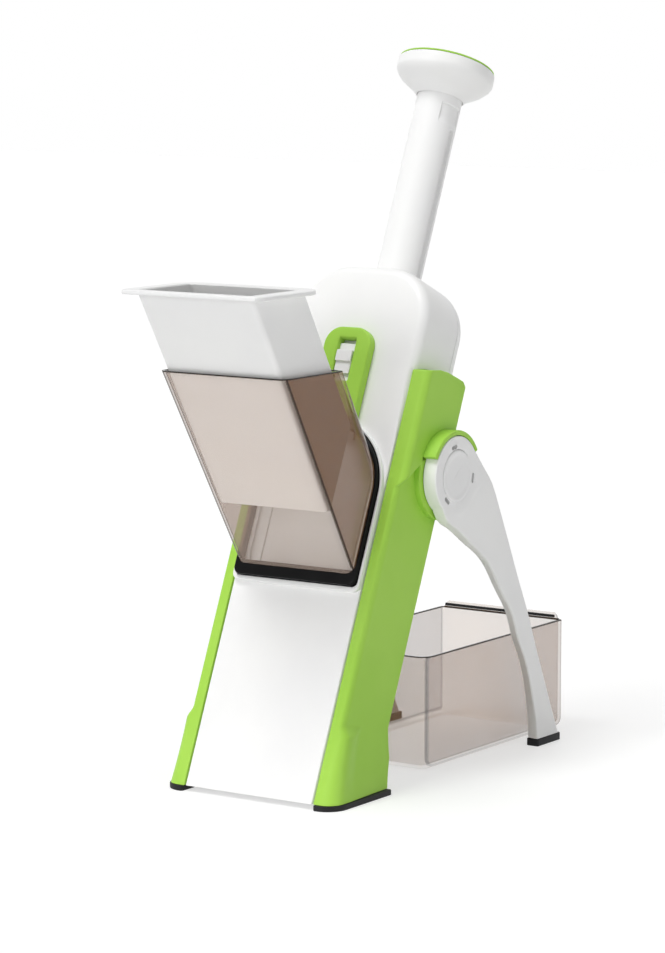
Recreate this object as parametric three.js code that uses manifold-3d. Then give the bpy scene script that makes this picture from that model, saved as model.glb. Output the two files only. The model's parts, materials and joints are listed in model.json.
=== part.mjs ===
// Upright vegetable chopper: a leaning housing with a spring plunger that drives a blade carriage,
// a clear food chute with its pusher, two folding rear legs and a loose collection tray.
// Millimetres. X to the right, Y to the back, Z up; the object stands on Z = 0.
// Pieces of the leaning body are drawn in the body's own directions: across (X), depth (from the
// front face to the back) and along (from the table up the lean).

import * as THREE from "three";
import { mergeVertices } from "three/addons/utils/BufferGeometryUtils.js";
import Module from "manifold-3d";

const wasm = await Module();
wasm.setup();

// General sizes
const clearance = 0.3;
const overrun = 2;
const bodyLean = THREE.MathUtils.degToRad(23.4);
const roundSteps = 32;
const smallRoundSteps = 16;
const arcSteps = 6;

// Housing
const housingHalfWidth = 46;
const headHalfWidth = 46.5;
const housingHeight = 333;
const headHeight = 71;
const neckHeight = 40;
const shoulderRadius = 32;
const housingDepth = 39;
const housingEdgeRadius = 6;
const housingWall = 2.4;
const housingFloor = 3;
const housingLift = 3.5;
const coverDepth = 13.7;
const coverEdgeShare = 0.25;

// Food opening, its seat and gasket
const openingHalfWidth = 40;
const archDrop = 142;
const openingDrop = 47;
const gasketHalfWidth = 43.3;
const gasketInnerHalfWidth = 40.6;
const gasketDrop = 57;
const gasketInnerDrop = 48;
const gasketProud = 6;
const gasketSeatGap = 0.4;
const seatRimWidth = 1.6;
const seatRimProud = 3;
const seatLipHeight = 2.9;

// Bezel and latch
const bezelHalfWidth = 16.4;
const bezelRise = 100.6;
const bezelCornerRadius = 11;
const bezelProud = 6.4;
const bezelWall = 2;
const bezelGap = 0.5;
const bezelWindowHalfWidth = 6;
const bezelWindowRise = 71;
const bezelWindowHeight = 22.5;
const latchHalfWidth = 5.5;
const latchRise = 71.5;
const latchHeight = 14.5;
const latchProud = 7;
const latchStep = 1.6;
const latchPlateHalfWidth = 9;
const latchPlateThickness = 2.8;
const latchTongueHalfWidth = 5;
const latchTongueLength = 17;
const latchPlateHeight = 20;

// Side panels
const recessHalfWidth = 54.3;
const panelHalfWidth = 58;
const panelFlare = 3.2;
const panelFlareHeight = 50;
const panelCornerRadius = 7;
const panelBaseCornerRadius = 13;
const panelRise = 58.2;
const panelFrontDrop = 5.5;
const panelRearDepth = 43.7;
const panelLowerDepth = 48.7;
const panelHeelHeight = 62;
const panelHeelReach = 69.2;
const panelHeelBend = 20;
const panelFootReach = 61;
const panelWall = 2.4;
const panelTopShares = [[0, 0], [0.275, 0.73], [0.5, 1], [0.915, 1], [1, 0.6]];
const ledgeHeight = 50;
const ledgeRun = 23;
const ledgeRise = 5.5;
const ledgeDrop = 9.6;
const recessDrop = 19.3;
const recessRun = 22;
const recessRise = 25;
const recessStepRise = 4.2;
const flareSpread = 6.5;
const flareStart = 8;

// Hub, legs and their buttons
const hubRise = 26.3;
const hubDepth = 41;
const lugRadius = 27.4;
const collarThickness = 3;
const collarFrom = THREE.MathUtils.degToRad(30);
const collarTo = THREE.MathUtils.degToRad(150);
const legDiscRadius = 24;
const legThickness = 9.1;
const legReach = 130.1;
const legOuterTaper = 3.9;
const legInnerTaper = 3.5;
const legArmStep = 0.6;
const legBevel = 4;
const legBevelAngle = THREE.MathUtils.degToRad(32);
const legPadHeight = 5;
const legRearShares = [
  [0.12, 0.09], [0.148, 0.062], [0.297, -0.035], [0.389, -0.15], [0.483, -0.277], [0.563, -0.386],
  [0.654, -0.505], [0.754, -0.653], [0.862, -0.805], [0.965, -0.95], [1, -1],
];
const legFrontShares = [
  [0.791, -1], [0.782, -0.966], [0.773, -0.916], [0.747, -0.854], [0.709, -0.77], [0.656, -0.685],
  [0.587, -0.608], [0.52, -0.513], [0.409, -0.42], [0.282, -0.311], [0.124, -0.233], [0.0215, -0.184],
  [-0.0815, -0.142], [-0.14, -0.075],
];
const legBevelShares = [0.3, 0.5, 0.8, 1, 1, 1, 1, 1, 0.9, 0.6, 0.3, 0.1, 0, 0];
const pivotRadius = 5;
const pivotHeadRadius = 8;
const pivotHeadThickness = 1.5;
const legWeb = 1.7;
const buttonRadius = 15.6;
const buttonProud = 0.5;
const buttonThickness = 2.8;
const buttonSkirt = 2;
const buttonSkirtDepth = 1.9;
const slotRingRadius = 19.8;
const slotLength = 6;
const slotWidth = 1.3;
const slotDepth = 1;
const slotAngleShares = [100 / 360, -10 / 360, -130 / 360];

// Rubber feet under the side panels
const footInnerHalfWidth = 46.6;
const footHalfWidth = 61.9;
const footReach = 62;
const footCornerRadius = 13;
const footSmallRadius = 2;

// Plunger, bush, knob and cap
const tubeRadius = 14.1;
const tubeBoreRadius = 11;
const tubeDepth = 31.8;
const tubeReach = 133;
const tubeHoleGap = 0.5;
const grooveHalfWidth = 2.3;
const grooveDepth = 2.3;
const grooveTopDrop = 33;
const bushThickness = 2.8;
const bushFlangeRadius = 18.4;
const bushFlange = 2.7;
const bushTail = 4.7;
const shelfDrop = 21;
const shelfThickness = 3.7;
const shelfFront = 12;
const knobRadius = 30.3;
const knobRise = 8;
const knobBand = 6.5;
const knobDrop = 13;
const knobNeckRadius = 15.4;
const knobPlugRadius = 10.7;
const knobPlugDrop = 11;
const knobEdge = 0.8;
const knobDomeShares = [[0, 0], [0.09, 0.14], [0.26, 0.28], [0.5, 0.43], [0.74, 0.61], [0.91, 0.8], [1, 1]];
const capRadius = 29.6;
const capEdge = 1;
const capDome = 1.7;

// Blade carriage with its blade
const frameFront = 3.8;
const frameThickness = 4;
const frameHalfWidth = 41.5;
const frameFootHeight = 10;
const frameTopDrop = 6;
const frameCornerRadius = 22;
const frameFootRadius = 4;
const windowHalfWidth = 32.6;
const windowDrop = 53;
const throat = 8;
const bladeHalfWidth = 36;
const bladeFront = 2.7;
const bladeThickness = 0.8;
const bladeRise = 47;
const bladeVee = 8;
const bladeHeight = 18;
const bladeBevel = 1.5;
const earInner = 33.5;
const earBack = 16.5;
const earHeight = 9;
const upperEarDrop = 26;
const collarHeight = 16;
const collarFloor = 6;
const carriageCollarWall = 2.8;
const armHalfWidth = 14;
const gussetThickness = 3;
const gussetHeight = 26;
const gussetReachShare = 0.66;
const yokeRise = 4;
const yokeHeight = 16;
const yokeFront = 20;
const yokeThickness = 3;
const yokeLeg = 2.3;

// Thickness plate, julienne comb and their dials
const plateHalfWidth = 32;
const plateSet = 1.5;
const plateThickness = 2;
const plateEdgeGap = 1.5;
const dialAcross = 22;
const guidePostRadius = 3.2;
const guidePostLength = 15.8;
const followerRadius = 3;
const followerLength = 3.3;
const combFront = 16;
const combThickness = 2.5;
const combHalfWidth = 31;
const combStripWidth = 4;
const combDrop = 16;
const combBarHeight = 10;
const combTabInner = 17;
const toothWidth = 1;
const toothHeight = 4;
const toothTip = 5.2;
const toothPitch = 7;
const toothSideCount = 4;
const toothSlotGap = 0.5;
const combPinRadius = 1.6;
const combPinLength = 4.3;
const dialShaftRadius = 3.9;
const dialThickness = 4.5;
const thicknessDialRadius = 12;
const julienneDialRadius = 10;
const thicknessShaftFront = 14.8;
const dialNotchRadius = 1.4;
const dialNotchCount = 10;

// Guide rods, spring and its seat
const rodRadius = 2.5;
const rodAcross = 38;
const rodDepth = 13;
const rodBottom = 14.3;
const socketRadius = 4.8;
const socketHeight = 20;
const socketLength = 10;
const springRodRadius = 5;
const springRodRise = 7;
const springSeatDrop = 11;
const springSeatThickness = 6;
const springSeatRadius = 10;
const springSeatFootHeight = 13;
const springSeatFootThickness = 2.7;
const springSeatFootHalfWidth = 12;
const springSeatArmHalfWidth = 7;
const springRadius = 9;
const springWireRadius = 0.8;
const springCurls = 22;
const springSteps = 8;
const springSides = 5;

// Slice exit and its ramp
const exitDrop = 67;
const exitHeight = 42;
const exitHalfWidth = 27.5;
const exitRadius = 5;
const rampFront = 30;
const rampFrontRise = 4;
const rampFrontHalfWidth = 32;
const rampEnd = 92;
const rampFall = 8;
const rampEndHalfWidth = 20;
const rampWall = 2.2;
const rampSide = 10;

// Food chute and pusher
const chuteRimRise = 77.71;
const chuteRimReach = 99.86;
const chuteRimHalfWidth = 44.8;
const chuteBaseHalfWidth = 42;
const chuteRimSide = 49.5;
const chuteBaseSide = 50.5;
const chuteRimBack = 10;
const chuteCornerRadius = 6;
const chuteWall = 1.8;
const chuteRimPower = 20;
const chuteBasePower = 2;
const chuteRings = 5;
const pusherGap = 0.8;
const pusherWall = 2;
const pusherRise = 46.3;
const pusherFlange = 2.7;
const pusherTopHalfWidth = 43.4;
const pusherBackPower = 6;
const pusherOverhang = 6.5;
const pusherFrontOverhang = 12.5;
const pusherSideOverhang = 8.8;
const pusherFlangeRadius = 16;
const pusherStop = 41;
const pusherDrop = 103;

// Collection tray
const trayHalfWidth = 46;
const trayFront = 124;
const trayBack = 287;
const trayHeight = 70.5;
const trayWall = 2.2;
const trayCornerRadius = 9;
const trayBackRadius = 3;
const trayEdgeRadius = 7;
const trayLipHalfWidth = 42;
const trayLipHeight = 4;
const stripHalfWidth = 41;
const stripThickness = 1.2;
const stripHeight = 1.6;
const stripRise = 1.2;

// Sizes that follow
const neckEnd = housingHeight - headHeight;
const neckStart = neckEnd - neckHeight;
const archCentre = housingHeight - archDrop;
const openingBottom = archCentre - openingDrop;
const gasketBottom = archCentre - gasketDrop;
const gasketInnerBottom = archCentre - gasketInnerDrop;
const bezelTop = archCentre + bezelRise;
const bezelWindowBottom = archCentre + bezelWindowRise;
const bezelWindowTop = bezelWindowBottom + bezelWindowHeight;
const latchBottom = archCentre + latchRise;
const latchTop = latchBottom + latchHeight;
const hubAlong = archCentre + hubRise;
const panelTop = hubAlong + panelRise;
const panelFrontTop = panelTop - panelFrontDrop;
const recessTop = hubAlong - recessDrop;
const shelfHeight = housingHeight - shelfDrop;
const tubeTop = housingHeight + tubeReach;
const grooveTop = tubeTop - grooveTopDrop;
const knobTop = tubeTop + knobRise;
const knobBottom = tubeTop - knobDrop;
const knobPlugBottom = tubeTop - knobPlugDrop;
const windowBottom = archCentre - windowDrop;
const frameBottom = windowBottom - frameFootHeight;
const frameTop = housingHeight - frameTopDrop;
const bladeEdgeSides = archCentre + bladeRise;
const upperEarBottom = shelfHeight - upperEarDrop;
const yokeBottom = windowBottom + yokeRise;
const combBarBottom = bladeEdgeSides - combDrop;
const springRodTop = housingHeight + springRodRise;
const springSeatTop = archCentre - springSeatDrop;
const exitBottom = archCentre - exitDrop;
const exitTop = exitBottom + exitHeight;
const rampFrontAlong = exitBottom + rampFrontRise;
const rampEndAlong = rampFrontAlong - rampFall;
const chuteBaseBottom = archCentre - chuteBaseSide;
const hubHeight = hubAlong * Math.cos(bodyLean) - hubDepth * Math.sin(bodyLean);
const panelInner = housingHalfWidth + clearance;
const legInner = panelHalfWidth + clearance;
const legOuter = legInner + legThickness;
const frameBack = frameFront + frameThickness;
const bushTop = shelfHeight + shelfThickness + clearance + bushFlange;
const bushBottom = shelfHeight - clearance - bushFlange - bushTail;
const collarBottom = bushBottom - clearance - collarHeight;
const tubeBottom = collarBottom + collarFloor + clearance;
const dialAlong = yokeBottom + yokeHeight / 2;
const dialFront = yokeFront + yokeThickness + clearance;
const plateFront = bladeFront + plateSet;
const bladeEdgeMiddle = bladeEdgeSides + bladeVee;
const rodTop = shelfHeight - clearance - clearance;
const coverFront = housingDepth + clearance;
const coverBack = housingDepth + coverDepth;

// Looks, from the photograph
const white = { color: 0xf2f2f0, roughness: 0.35, metalness: 0 };
const green = { color: 0x8fc24a, roughness: 0.35, metalness: 0 };
const smoke = { color: 0xcfc6bb, roughness: 0.12, metalness: 0, transparent: true, opacity: 0.4 };
const rubber = { color: 0x2a2c2e, roughness: 0.75, metalness: 0 };
const steel = { color: 0xc3c6c8, roughness: 0.28, metalness: 1 };

function toWorld(depth, along) {
  const y = depth * Math.cos(bodyLean) + along * Math.sin(bodyLean);
  const z = along * Math.cos(bodyLean) - depth * Math.sin(bodyLean);
  return [y, z];
}

function toBody(y, z) {
  const depth = y * Math.cos(bodyLean) - z * Math.sin(bodyLean);
  const along = y * Math.sin(bodyLean) + z * Math.cos(bodyLean);
  return [depth, along];
}

// Solids

function signedVolume(position, index) {
  let sum = 0;
  const a = new THREE.Vector3();
  const b = new THREE.Vector3();
  const c = new THREE.Vector3();
  for (let i = 0; i < index.length; i += 3) {
    a.fromArray(position, index[i] * 3);
    b.fromArray(position, index[i + 1] * 3);
    c.fromArray(position, index[i + 2] * 3);
    sum += a.dot(b.cross(c));
  }
  return sum;
}

// Turns a closed geometry into a solid whose faces point out.
function solid(geometry) {
  geometry.deleteAttribute("normal");
  geometry.deleteAttribute("uv");
  const merged = mergeVertices(geometry, 1e-4);
  const vertProperties = new Float32Array(merged.attributes.position.array);
  const triVerts = new Uint32Array(merged.index.array);
  if (signedVolume(vertProperties, triVerts) < 0) {
    for (let i = 0; i < triVerts.length; i += 3) {
      const first = triVerts[i];
      triVerts[i] = triVerts[i + 1];
      triVerts[i + 1] = first;
    }
  }
  return new wasm.Manifold(new wasm.Mesh({ numProp: 3, vertProperties, triVerts }));
}

function geometryOf(body) {
  const mesh = body.getMesh();
  const geometry = new THREE.BufferGeometry();
  geometry.setAttribute("position", new THREE.BufferAttribute(new Float32Array(mesh.vertProperties), 3));
  geometry.setIndex(new THREE.BufferAttribute(new Uint32Array(mesh.triVerts), 1));
  return geometry;
}

// The same solid on the other side of the middle plane.
function mirrored(body) {
  return solid(geometryOf(body).scale(-1, 1, 1));
}

function outline(points) {
  return new THREE.Shape(points.map(([u, v]) => new THREE.Vector2(u, v)));
}

function extrusion(points, length) {
  return new THREE.ExtrudeGeometry(outline(points), { depth: length, bevelEnabled: false });
}

// An outline in (across, along), extruded through the depth.
function slab(points, front, back) {
  return solid(extrusion(points, back - front).rotateX(Math.PI / 2).translate(0, back, 0));
}

// An outline in (depth, along), extruded across.
function plate(points, left, right) {
  const turn = new THREE.Matrix4().makeBasis(
    new THREE.Vector3(0, 1, 0), new THREE.Vector3(0, 0, 1), new THREE.Vector3(1, 0, 0));
  return solid(extrusion(points, right - left).applyMatrix4(turn).translate(left, 0, 0));
}

// An outline in (across, depth), extruded upward.
function tier(points, bottom, top) {
  return solid(extrusion(points, top - bottom).translate(0, 0, bottom));
}

function block([left, right], [front, back], [bottom, top]) {
  const box = new THREE.BoxGeometry(right - left, back - front, top - bottom);
  return solid(box.translate((left + right) / 2, (front + back) / 2, (bottom + top) / 2));
}

function post(radius, [across, depth], [bottom, top], steps = roundSteps) {
  const cylinder = new THREE.CylinderGeometry(radius, radius, top - bottom, steps);
  return solid(cylinder.rotateX(Math.PI / 2).translate(across, depth, (bottom + top) / 2));
}

function axle(radius, [left, right], [depth, along], steps = roundSteps) {
  const cylinder = new THREE.CylinderGeometry(radius, radius, right - left, steps);
  return solid(cylinder.rotateZ(Math.PI / 2).translate((left + right) / 2, depth, along));
}

function stub(radius, [front, back], [across, along], steps = smallRoundSteps) {
  const cylinder = new THREE.CylinderGeometry(radius, radius, back - front, steps);
  return solid(cylinder.translate(across, (front + back) / 2, along));
}

// A profile of [radius, along] turned about an upright axis.
function turned(points, depth, steps = roundSteps) {
  const profile = points.map(([radius, along]) => new THREE.Vector2(radius, along));
  return solid(new THREE.LatheGeometry(profile, steps).rotateX(Math.PI / 2).translate(0, depth, 0));
}

function joined(bodies) {
  return bodies.reduce((sum, body) => sum.add(body));
}

// Triangles that close a ring, walking its edges forward or backward.
function cap(ring, start, forward) {
  const count = ring.length;
  const normal = new THREE.Vector3();
  ring.forEach((point, i) => normal.add(point.clone().cross(ring[(i + 1) % count])));
  normal.normalize();
  const side = Math.abs(normal.x) < 0.9 ? new THREE.Vector3(1, 0, 0) : new THREE.Vector3(0, 1, 0);
  const u = side.cross(normal).normalize();
  const v = normal.clone().cross(u);
  const flat = ring.map((point) => new THREE.Vector2(point.dot(u), point.dot(v)));
  const faces = THREE.ShapeUtils.triangulateShape(flat, []);
  const walksForward = faces.some((face) => face.some((a, i) => face[(i + 1) % 3] === (a + 1) % count));
  return faces.flatMap((face) => {
    const [a, b, c] = face.map((i) => i + start);
    return walksForward === forward ? [a, b, c] : [a, c, b];
  });
}

// Rings with the same number of points, joined into one closed skin. A looped skin has no ends:
// its last ring meets its first.
function loft(rings, looped = false) {
  const count = rings[0].length;
  const total = rings.length * count;
  const index = [];
  const strips = looped ? rings.length : rings.length - 1;
  for (let i = 0; i < strips; i += 1) {
    for (let j = 0; j < count; j += 1) {
      const a = i * count + j;
      const b = i * count + (j + 1) % count;
      const c = (b + count) % total;
      const d = (a + count) % total;
      index.push(a, b, c, a, c, d);
    }
  }
  if (!looped) {
    index.push(...cap(rings[0], 0, false));
    index.push(...cap(rings[rings.length - 1], total - count, true));
  }
  const geometry = new THREE.BufferGeometry().setFromPoints(rings.flat());
  geometry.setIndex(index);
  return solid(geometry);
}

function arc([u, v], radius, from, to, steps = arcSteps) {
  return Array.from({ length: steps + 1 }, (_, i) => {
    const angle = from + (to - from) * i / steps;
    return [u + radius * Math.cos(angle), v + radius * Math.sin(angle)];
  });
}

// A rectangle with its own radius at each corner: lower right, upper right, upper left, lower left.
function roundedRectangle([left, right], [bottom, top], radii, steps = arcSteps) {
  const quarter = Math.PI / 2;
  const centres = [
    [right - radii[0], bottom + radii[0]], [right - radii[1], top - radii[1]],
    [left + radii[2], top - radii[2]], [left + radii[3], bottom + radii[3]],
  ];
  return centres.flatMap((centre, i) => arc(centre, radii[i], (i - 1) * quarter, i * quarter, steps));
}

function arch(halfWidth, bottom, centre) {
  return [[-halfWidth, bottom], [halfWidth, bottom], ...arc([0, centre], halfWidth, 0, Math.PI, arcSteps * 3)];
}

// Moves each edge of an outline inward by the same distance.
function insetOutline(points, distance) {
  const area = points.reduce((sum, [u, v], i) => {
    const [nextU, nextV] = points[(i + 1) % points.length];
    return sum + u * nextV - nextU * v;
  }, 0);
  const side = Math.sign(area);
  const edges = points.map(([u, v], i) => {
    const [nextU, nextV] = points[(i + 1) % points.length];
    const length = Math.hypot(nextU - u, nextV - v);
    const along = [(nextU - u) / length, (nextV - v) / length];
    const start = [u - side * along[1] * distance, v + side * along[0] * distance];
    return { start, along };
  });
  return edges.map((edge, i) => {
    const before = edges[(i + edges.length - 1) % edges.length];
    const cross = before.along[0] * edge.along[1] - before.along[1] * edge.along[0];
    const apart = [edge.start[0] - before.start[0], edge.start[1] - before.start[1]];
    const reach = (apart[0] * edge.along[1] - apart[1] * edge.along[0]) / cross;
    return [before.start[0] + before.along[0] * reach, before.start[1] + before.along[1] * reach];
  });
}

// Everything below a height over the table, in the body's own directions.
function belowHeight(height) {
  const reach = housingHeight * 2;
  const box = new THREE.BoxGeometry(reach, reach, reach).translate(0, 0, height - reach / 2);
  return solid(box.rotateX(bodyLean));
}

// Housing

function housingSide(inset, rounding) {
  const side = [[housingHalfWidth - inset - rounding * coverEdgeShare, 0]];
  const steps = arcSteps;
  for (let i = 0; i <= steps; i += 1) {
    const share = i / steps;
    const ease = share * share * (3 - 2 * share);
    const half = THREE.MathUtils.lerp(housingHalfWidth, headHalfWidth, ease);
    const edge = rounding * THREE.MathUtils.lerp(coverEdgeShare, 1, ease);
    side.push([half - inset - edge, THREE.MathUtils.lerp(neckStart, neckEnd, share)]);
  }
  const radius = shoulderRadius - inset - rounding;
  const centre = [headHalfWidth - shoulderRadius, housingHeight - shoulderRadius];
  return [...side, ...arc(centre, radius, 0, Math.PI / 2, arcSteps + 2)];
}

function housingRing(inset, rounding, depth) {
  const side = housingSide(inset, rounding);
  const other = side.map(([across, along]) => [-across, along]).reverse();
  return [...side, ...other].map(([across, along]) => new THREE.Vector3(across, depth, along));
}

// Rings of a rounded edge, from the flat face at faceDepth to full size one radius behind it.
function edgeRings(inset, radius, faceDepth, toward, steps = 3) {
  return Array.from({ length: steps + 1 }, (_, i) => {
    const angle = i / steps * Math.PI / 2;
    const rounding = radius * (1 - Math.sin(angle));
    return housingRing(inset, rounding, faceDepth + toward * radius * (1 - Math.cos(angle)));
  });
}

function frontForm(inset, back) {
  const rings = edgeRings(inset, housingEdgeRadius - inset, inset, 1);
  return loft([...rings, housingRing(inset, 0, back)]);
}

function coverForm(inset, front) {
  const rings = edgeRings(inset, coverBack - coverFront - inset, coverBack - inset, -1);
  return loft(front < coverFront ? [...rings, housingRing(inset, 0, front)] : rings);
}

// The shelf that holds the guide bush, cut to the inside of the head.
function bushShelf(form, front, back) {
  const reach = [-headHalfWidth, headHalfWidth];
  const shelf = block(reach, [front, back], [shelfHeight, shelfHeight + shelfThickness]);
  const hole = tubeRadius + clearance + bushThickness + clearance;
  const span = [shelfHeight - overrun, shelfHeight + shelfThickness + overrun];
  return shelf.intersect(form).subtract(post(hole, [0, tubeDepth], span));
}

function tubeHole() {
  const span = [shelfHeight + shelfThickness + bushThickness + overrun, housingHeight + overrun];
  return post(tubeRadius + tubeHoleGap, [0, tubeDepth], span);
}

function rodSockets(form) {
  const sides = [-rodAcross, rodAcross];
  const lower = sides.map((across) => post(socketRadius, [across, rodDepth], [0, socketHeight], smallRoundSteps));
  const upperSpan = [shelfHeight - socketLength, shelfHeight + overrun];
  const upper = sides.map((across) => post(socketRadius, [across, rodDepth], upperSpan, smallRoundSteps));
  return joined([...lower, ...upper]).intersect(form);
}

function rodBores() {
  const radius = rodRadius + clearance;
  const span = [rodBottom - clearance, rodTop + clearance];
  return joined([-rodAcross, rodAcross].map((across) => post(radius, [across, rodDepth], span, smallRoundSteps)));
}

function frontHousing() {
  const form = frontForm(0, housingDepth);
  const hollow = frontForm(housingWall, housingDepth + overrun);
  const shell = form.subtract(hollow.subtract(belowHeight(housingLift + housingFloor)));
  const opening = slab(arch(openingHalfWidth, openingBottom, archCentre), -overrun, housingWall + overrun);
  const rimHalfWidth = gasketHalfWidth + clearance + seatRimWidth;
  const rimBottom = gasketBottom - clearance - seatLipHeight;
  const rim = slab(arch(rimHalfWidth, rimBottom, archCentre), -seatRimProud, housingWall);
  const seat = slab(arch(gasketHalfWidth + clearance, gasketBottom - clearance, archCentre), -bezelProud, 0);
  return shell
    .add(rim)
    .subtract(seat)
    .subtract(opening)
    .add(bushShelf(form, shelfFront, housingDepth))
    .add(rodSockets(form))
    .subtract(rodBores())
    .subtract(tubeHole())
    .subtract(belowHeight(housingLift));
}

// The ramp that carries slices out of the housing, a channel that narrows toward its end.
function rampRing(halfWidth, depth, along, inset) {
  const top = along + rampSide + (inset > 0 ? overrun : 0);
  const half = halfWidth - inset;
  const bottom = along - rampWall + inset;
  return [[-half, bottom], [half, bottom], [half, top], [-half, top]]
    .map(([across, height]) => new THREE.Vector3(across, depth, height));
}

function ramp() {
  const rings = (inset, extra) => {
    const slope = (rampEndAlong - rampFrontAlong) / (rampEnd - rampFront);
    const narrowing = (rampEndHalfWidth - rampFrontHalfWidth) / (rampEnd - rampFront);
    return [rampFront - extra, rampEnd + extra].map((depth) => {
      const run = depth - rampFront;
      return rampRing(rampFrontHalfWidth + narrowing * run, depth, rampFrontAlong + slope * run, inset);
    });
  };
  return loft(rings(0, 0)).subtract(loft(rings(rampWall, overrun)));
}

function rearCover() {
  const form = coverForm(0, coverFront);
  const hollow = coverForm(housingWall, coverFront - overrun);
  const shell = form.subtract(hollow.subtract(belowHeight(housingLift + housingFloor)));
  const radii = [exitRadius, exitRadius, exitRadius, exitRadius];
  const exit = roundedRectangle([-exitHalfWidth, exitHalfWidth], [exitBottom, exitTop], radii);
  return shell
    .add(bushShelf(form, coverFront, coverBack))
    .subtract(slab(exit, coverFront, coverBack + overrun))
    .add(ramp())
    .subtract(tubeHole())
    .subtract(belowHeight(housingLift));
}

function gasket() {
  const outer = slab(arch(gasketHalfWidth, gasketBottom, archCentre), -gasketProud, -gasketSeatGap);
  const inner = arch(gasketInnerHalfWidth, gasketInnerBottom, archCentre);
  return outer.subtract(slab(inner, -gasketProud - overrun, overrun));
}

// Bezel and latch

function bezelOutline(inset) {
  const circle = gasketHalfWidth + clearance + seatRimWidth + bezelGap + inset;
  const half = bezelHalfWidth - inset;
  const reach = Math.acos(half / circle);
  const radius = bezelCornerRadius - inset;
  const top = bezelTop - inset;
  return [
    ...arc([0, archCentre], circle, Math.PI - reach, reach, arcSteps * 2),
    ...arc([half - radius, top - radius], radius, 0, Math.PI / 2),
    ...arc([radius - half, top - radius], radius, Math.PI / 2, Math.PI),
  ];
}

function latchBezel() {
  const body = slab(bezelOutline(0), -bezelProud, -clearance);
  const hollow = slab(bezelOutline(bezelWall), bezelWall - bezelProud, overrun);
  const radii = [1, 1, 1, 1].map(() => bezelWall / 2);
  const span = [-bezelWindowHalfWidth, bezelWindowHalfWidth];
  const window = roundedRectangle(span, [bezelWindowBottom, bezelWindowTop], radii, 2);
  return body.subtract(hollow).subtract(slab(window, -bezelProud - overrun, 0));
}

function chuteLatch() {
  const back = -clearance - clearance;
  const front = back - latchPlateThickness;
  const bottom = latchBottom - clearance;
  const plateSpan = [bottom - clearance, bottom + latchPlateHeight];
  const body = block([-latchPlateHalfWidth, latchPlateHalfWidth], [front, back], plateSpan);
  const tongueSpan = [plateSpan[0] - latchTongueLength, plateSpan[0] + overrun];
  const tongue = block([-latchTongueHalfWidth, latchTongueHalfWidth], [front, back], tongueSpan);
  const span = [-latchHalfWidth, latchHalfWidth];
  const foot = block(span, [latchStep - latchProud, back], [latchBottom, latchTop]);
  const step = block(span, [-latchProud, back], [latchBottom + latchHeight / 2, latchTop]);
  return joined([body, tongue, foot, step]);
}

// Side panels, drawn for the right side

function panelRing(along) {
  const share = Math.max(0, 1 - along / panelFlareHeight);
  const half = panelHalfWidth + panelFlare * share * share;
  const radius = THREE.MathUtils.lerp(panelCornerRadius, panelBaseCornerRadius, share);
  const rear = housingHeight / 2;
  const corner = arc([half - radius, radius], radius, -Math.PI / 2, 0);
  return [[panelInner, 0], ...corner, [half, rear], [panelInner, rear]]
    .map(([across, depth]) => new THREE.Vector3(across, depth, along));
}

function panelProfile() {
  const rise = panelTop - panelFrontTop;
  const top = panelTopShares.map(([u, v]) => [u * panelRearDepth, panelFrontTop + v * rise]);
  return [
    [0, 0], ...top, [panelRearDepth, hubAlong], [panelLowerDepth, hubAlong],
    [panelLowerDepth, panelHeelHeight], toBody(panelHeelReach, panelHeelBend),
    toBody(panelFootReach, 0), toBody(panelFootReach, -housingLift),
  ];
}

// The long shallow recess of the outer face, with its sloped ledge below and crease above.
function recessCut() {
  const far = panelHalfWidth + panelFlare + overrun;
  const spread = far - recessHalfWidth;
  const scale = spread / (panelHalfWidth + panelFlare + overrun - recessHalfWidth);
  const rear = housingHeight / 2;
  const ring = (across, share) => [
    [-overrun, ledgeHeight - ledgeDrop * share],
    [ledgeRun * (1 - share * 2 / 3), ledgeHeight + ledgeRise * (1 - share * 2 / 3) - ledgeDrop * share],
    [rear, ledgeHeight + ledgeRise * 2 - ledgeDrop * share],
    [rear, hubAlong],
    [hubDepth, hubAlong],
    [recessRun, recessTop + recessRise + recessStepRise * share],
    [-overrun, recessTop + recessStepRise * share],
  ].map(([depth, along]) => new THREE.Vector3(across, depth, along));
  return loft([ring(recessHalfWidth, 0), ring(far, scale)]);
}

// The smooth flare of the outer face behind the ledge.
function flareCut() {
  const far = panelHalfWidth + panelFlare + overrun;
  const top = ledgeHeight + ledgeRise;
  const low = housingLift * 2;
  const ring = (depth, share) => {
    const curve = Array.from({ length: arcSteps + 1 }, (_, i) => {
      const drop = i / arcSteps;
      const across = recessHalfWidth + flareSpread * drop * drop;
      return [THREE.MathUtils.lerp(far, across, share), THREE.MathUtils.lerp(top, low, drop)];
    });
    const start = [THREE.MathUtils.lerp(far, recessHalfWidth, share), top + overrun];
    const end = [THREE.MathUtils.lerp(far, recessHalfWidth + flareSpread * 1.5, share), 0];
    const edge = far + overrun;
    return [start, ...curve, end, [edge, 0], [edge, top + overrun]]
      .map(([across, along]) => new THREE.Vector3(across, depth, along));
  };
  return loft([ring(flareStart, 0), ring(ledgeRun + overrun, 1), ring(housingHeight / 2, 1)]);
}

// The raised collar that runs round the top of the leg's disc.
function hubCollar() {
  const from = collarFrom + bodyLean;
  const to = collarTo + bodyLean;
  const steps = arcSteps * 3;
  const outer = arc([hubDepth, hubAlong], lugRadius, from, to, steps);
  const inner = arc([hubDepth, hubAlong], lugRadius - collarThickness, to, from, steps);
  return plate([...outer, ...inner], panelHalfWidth - overrun, legOuter - clearance);
}

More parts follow.
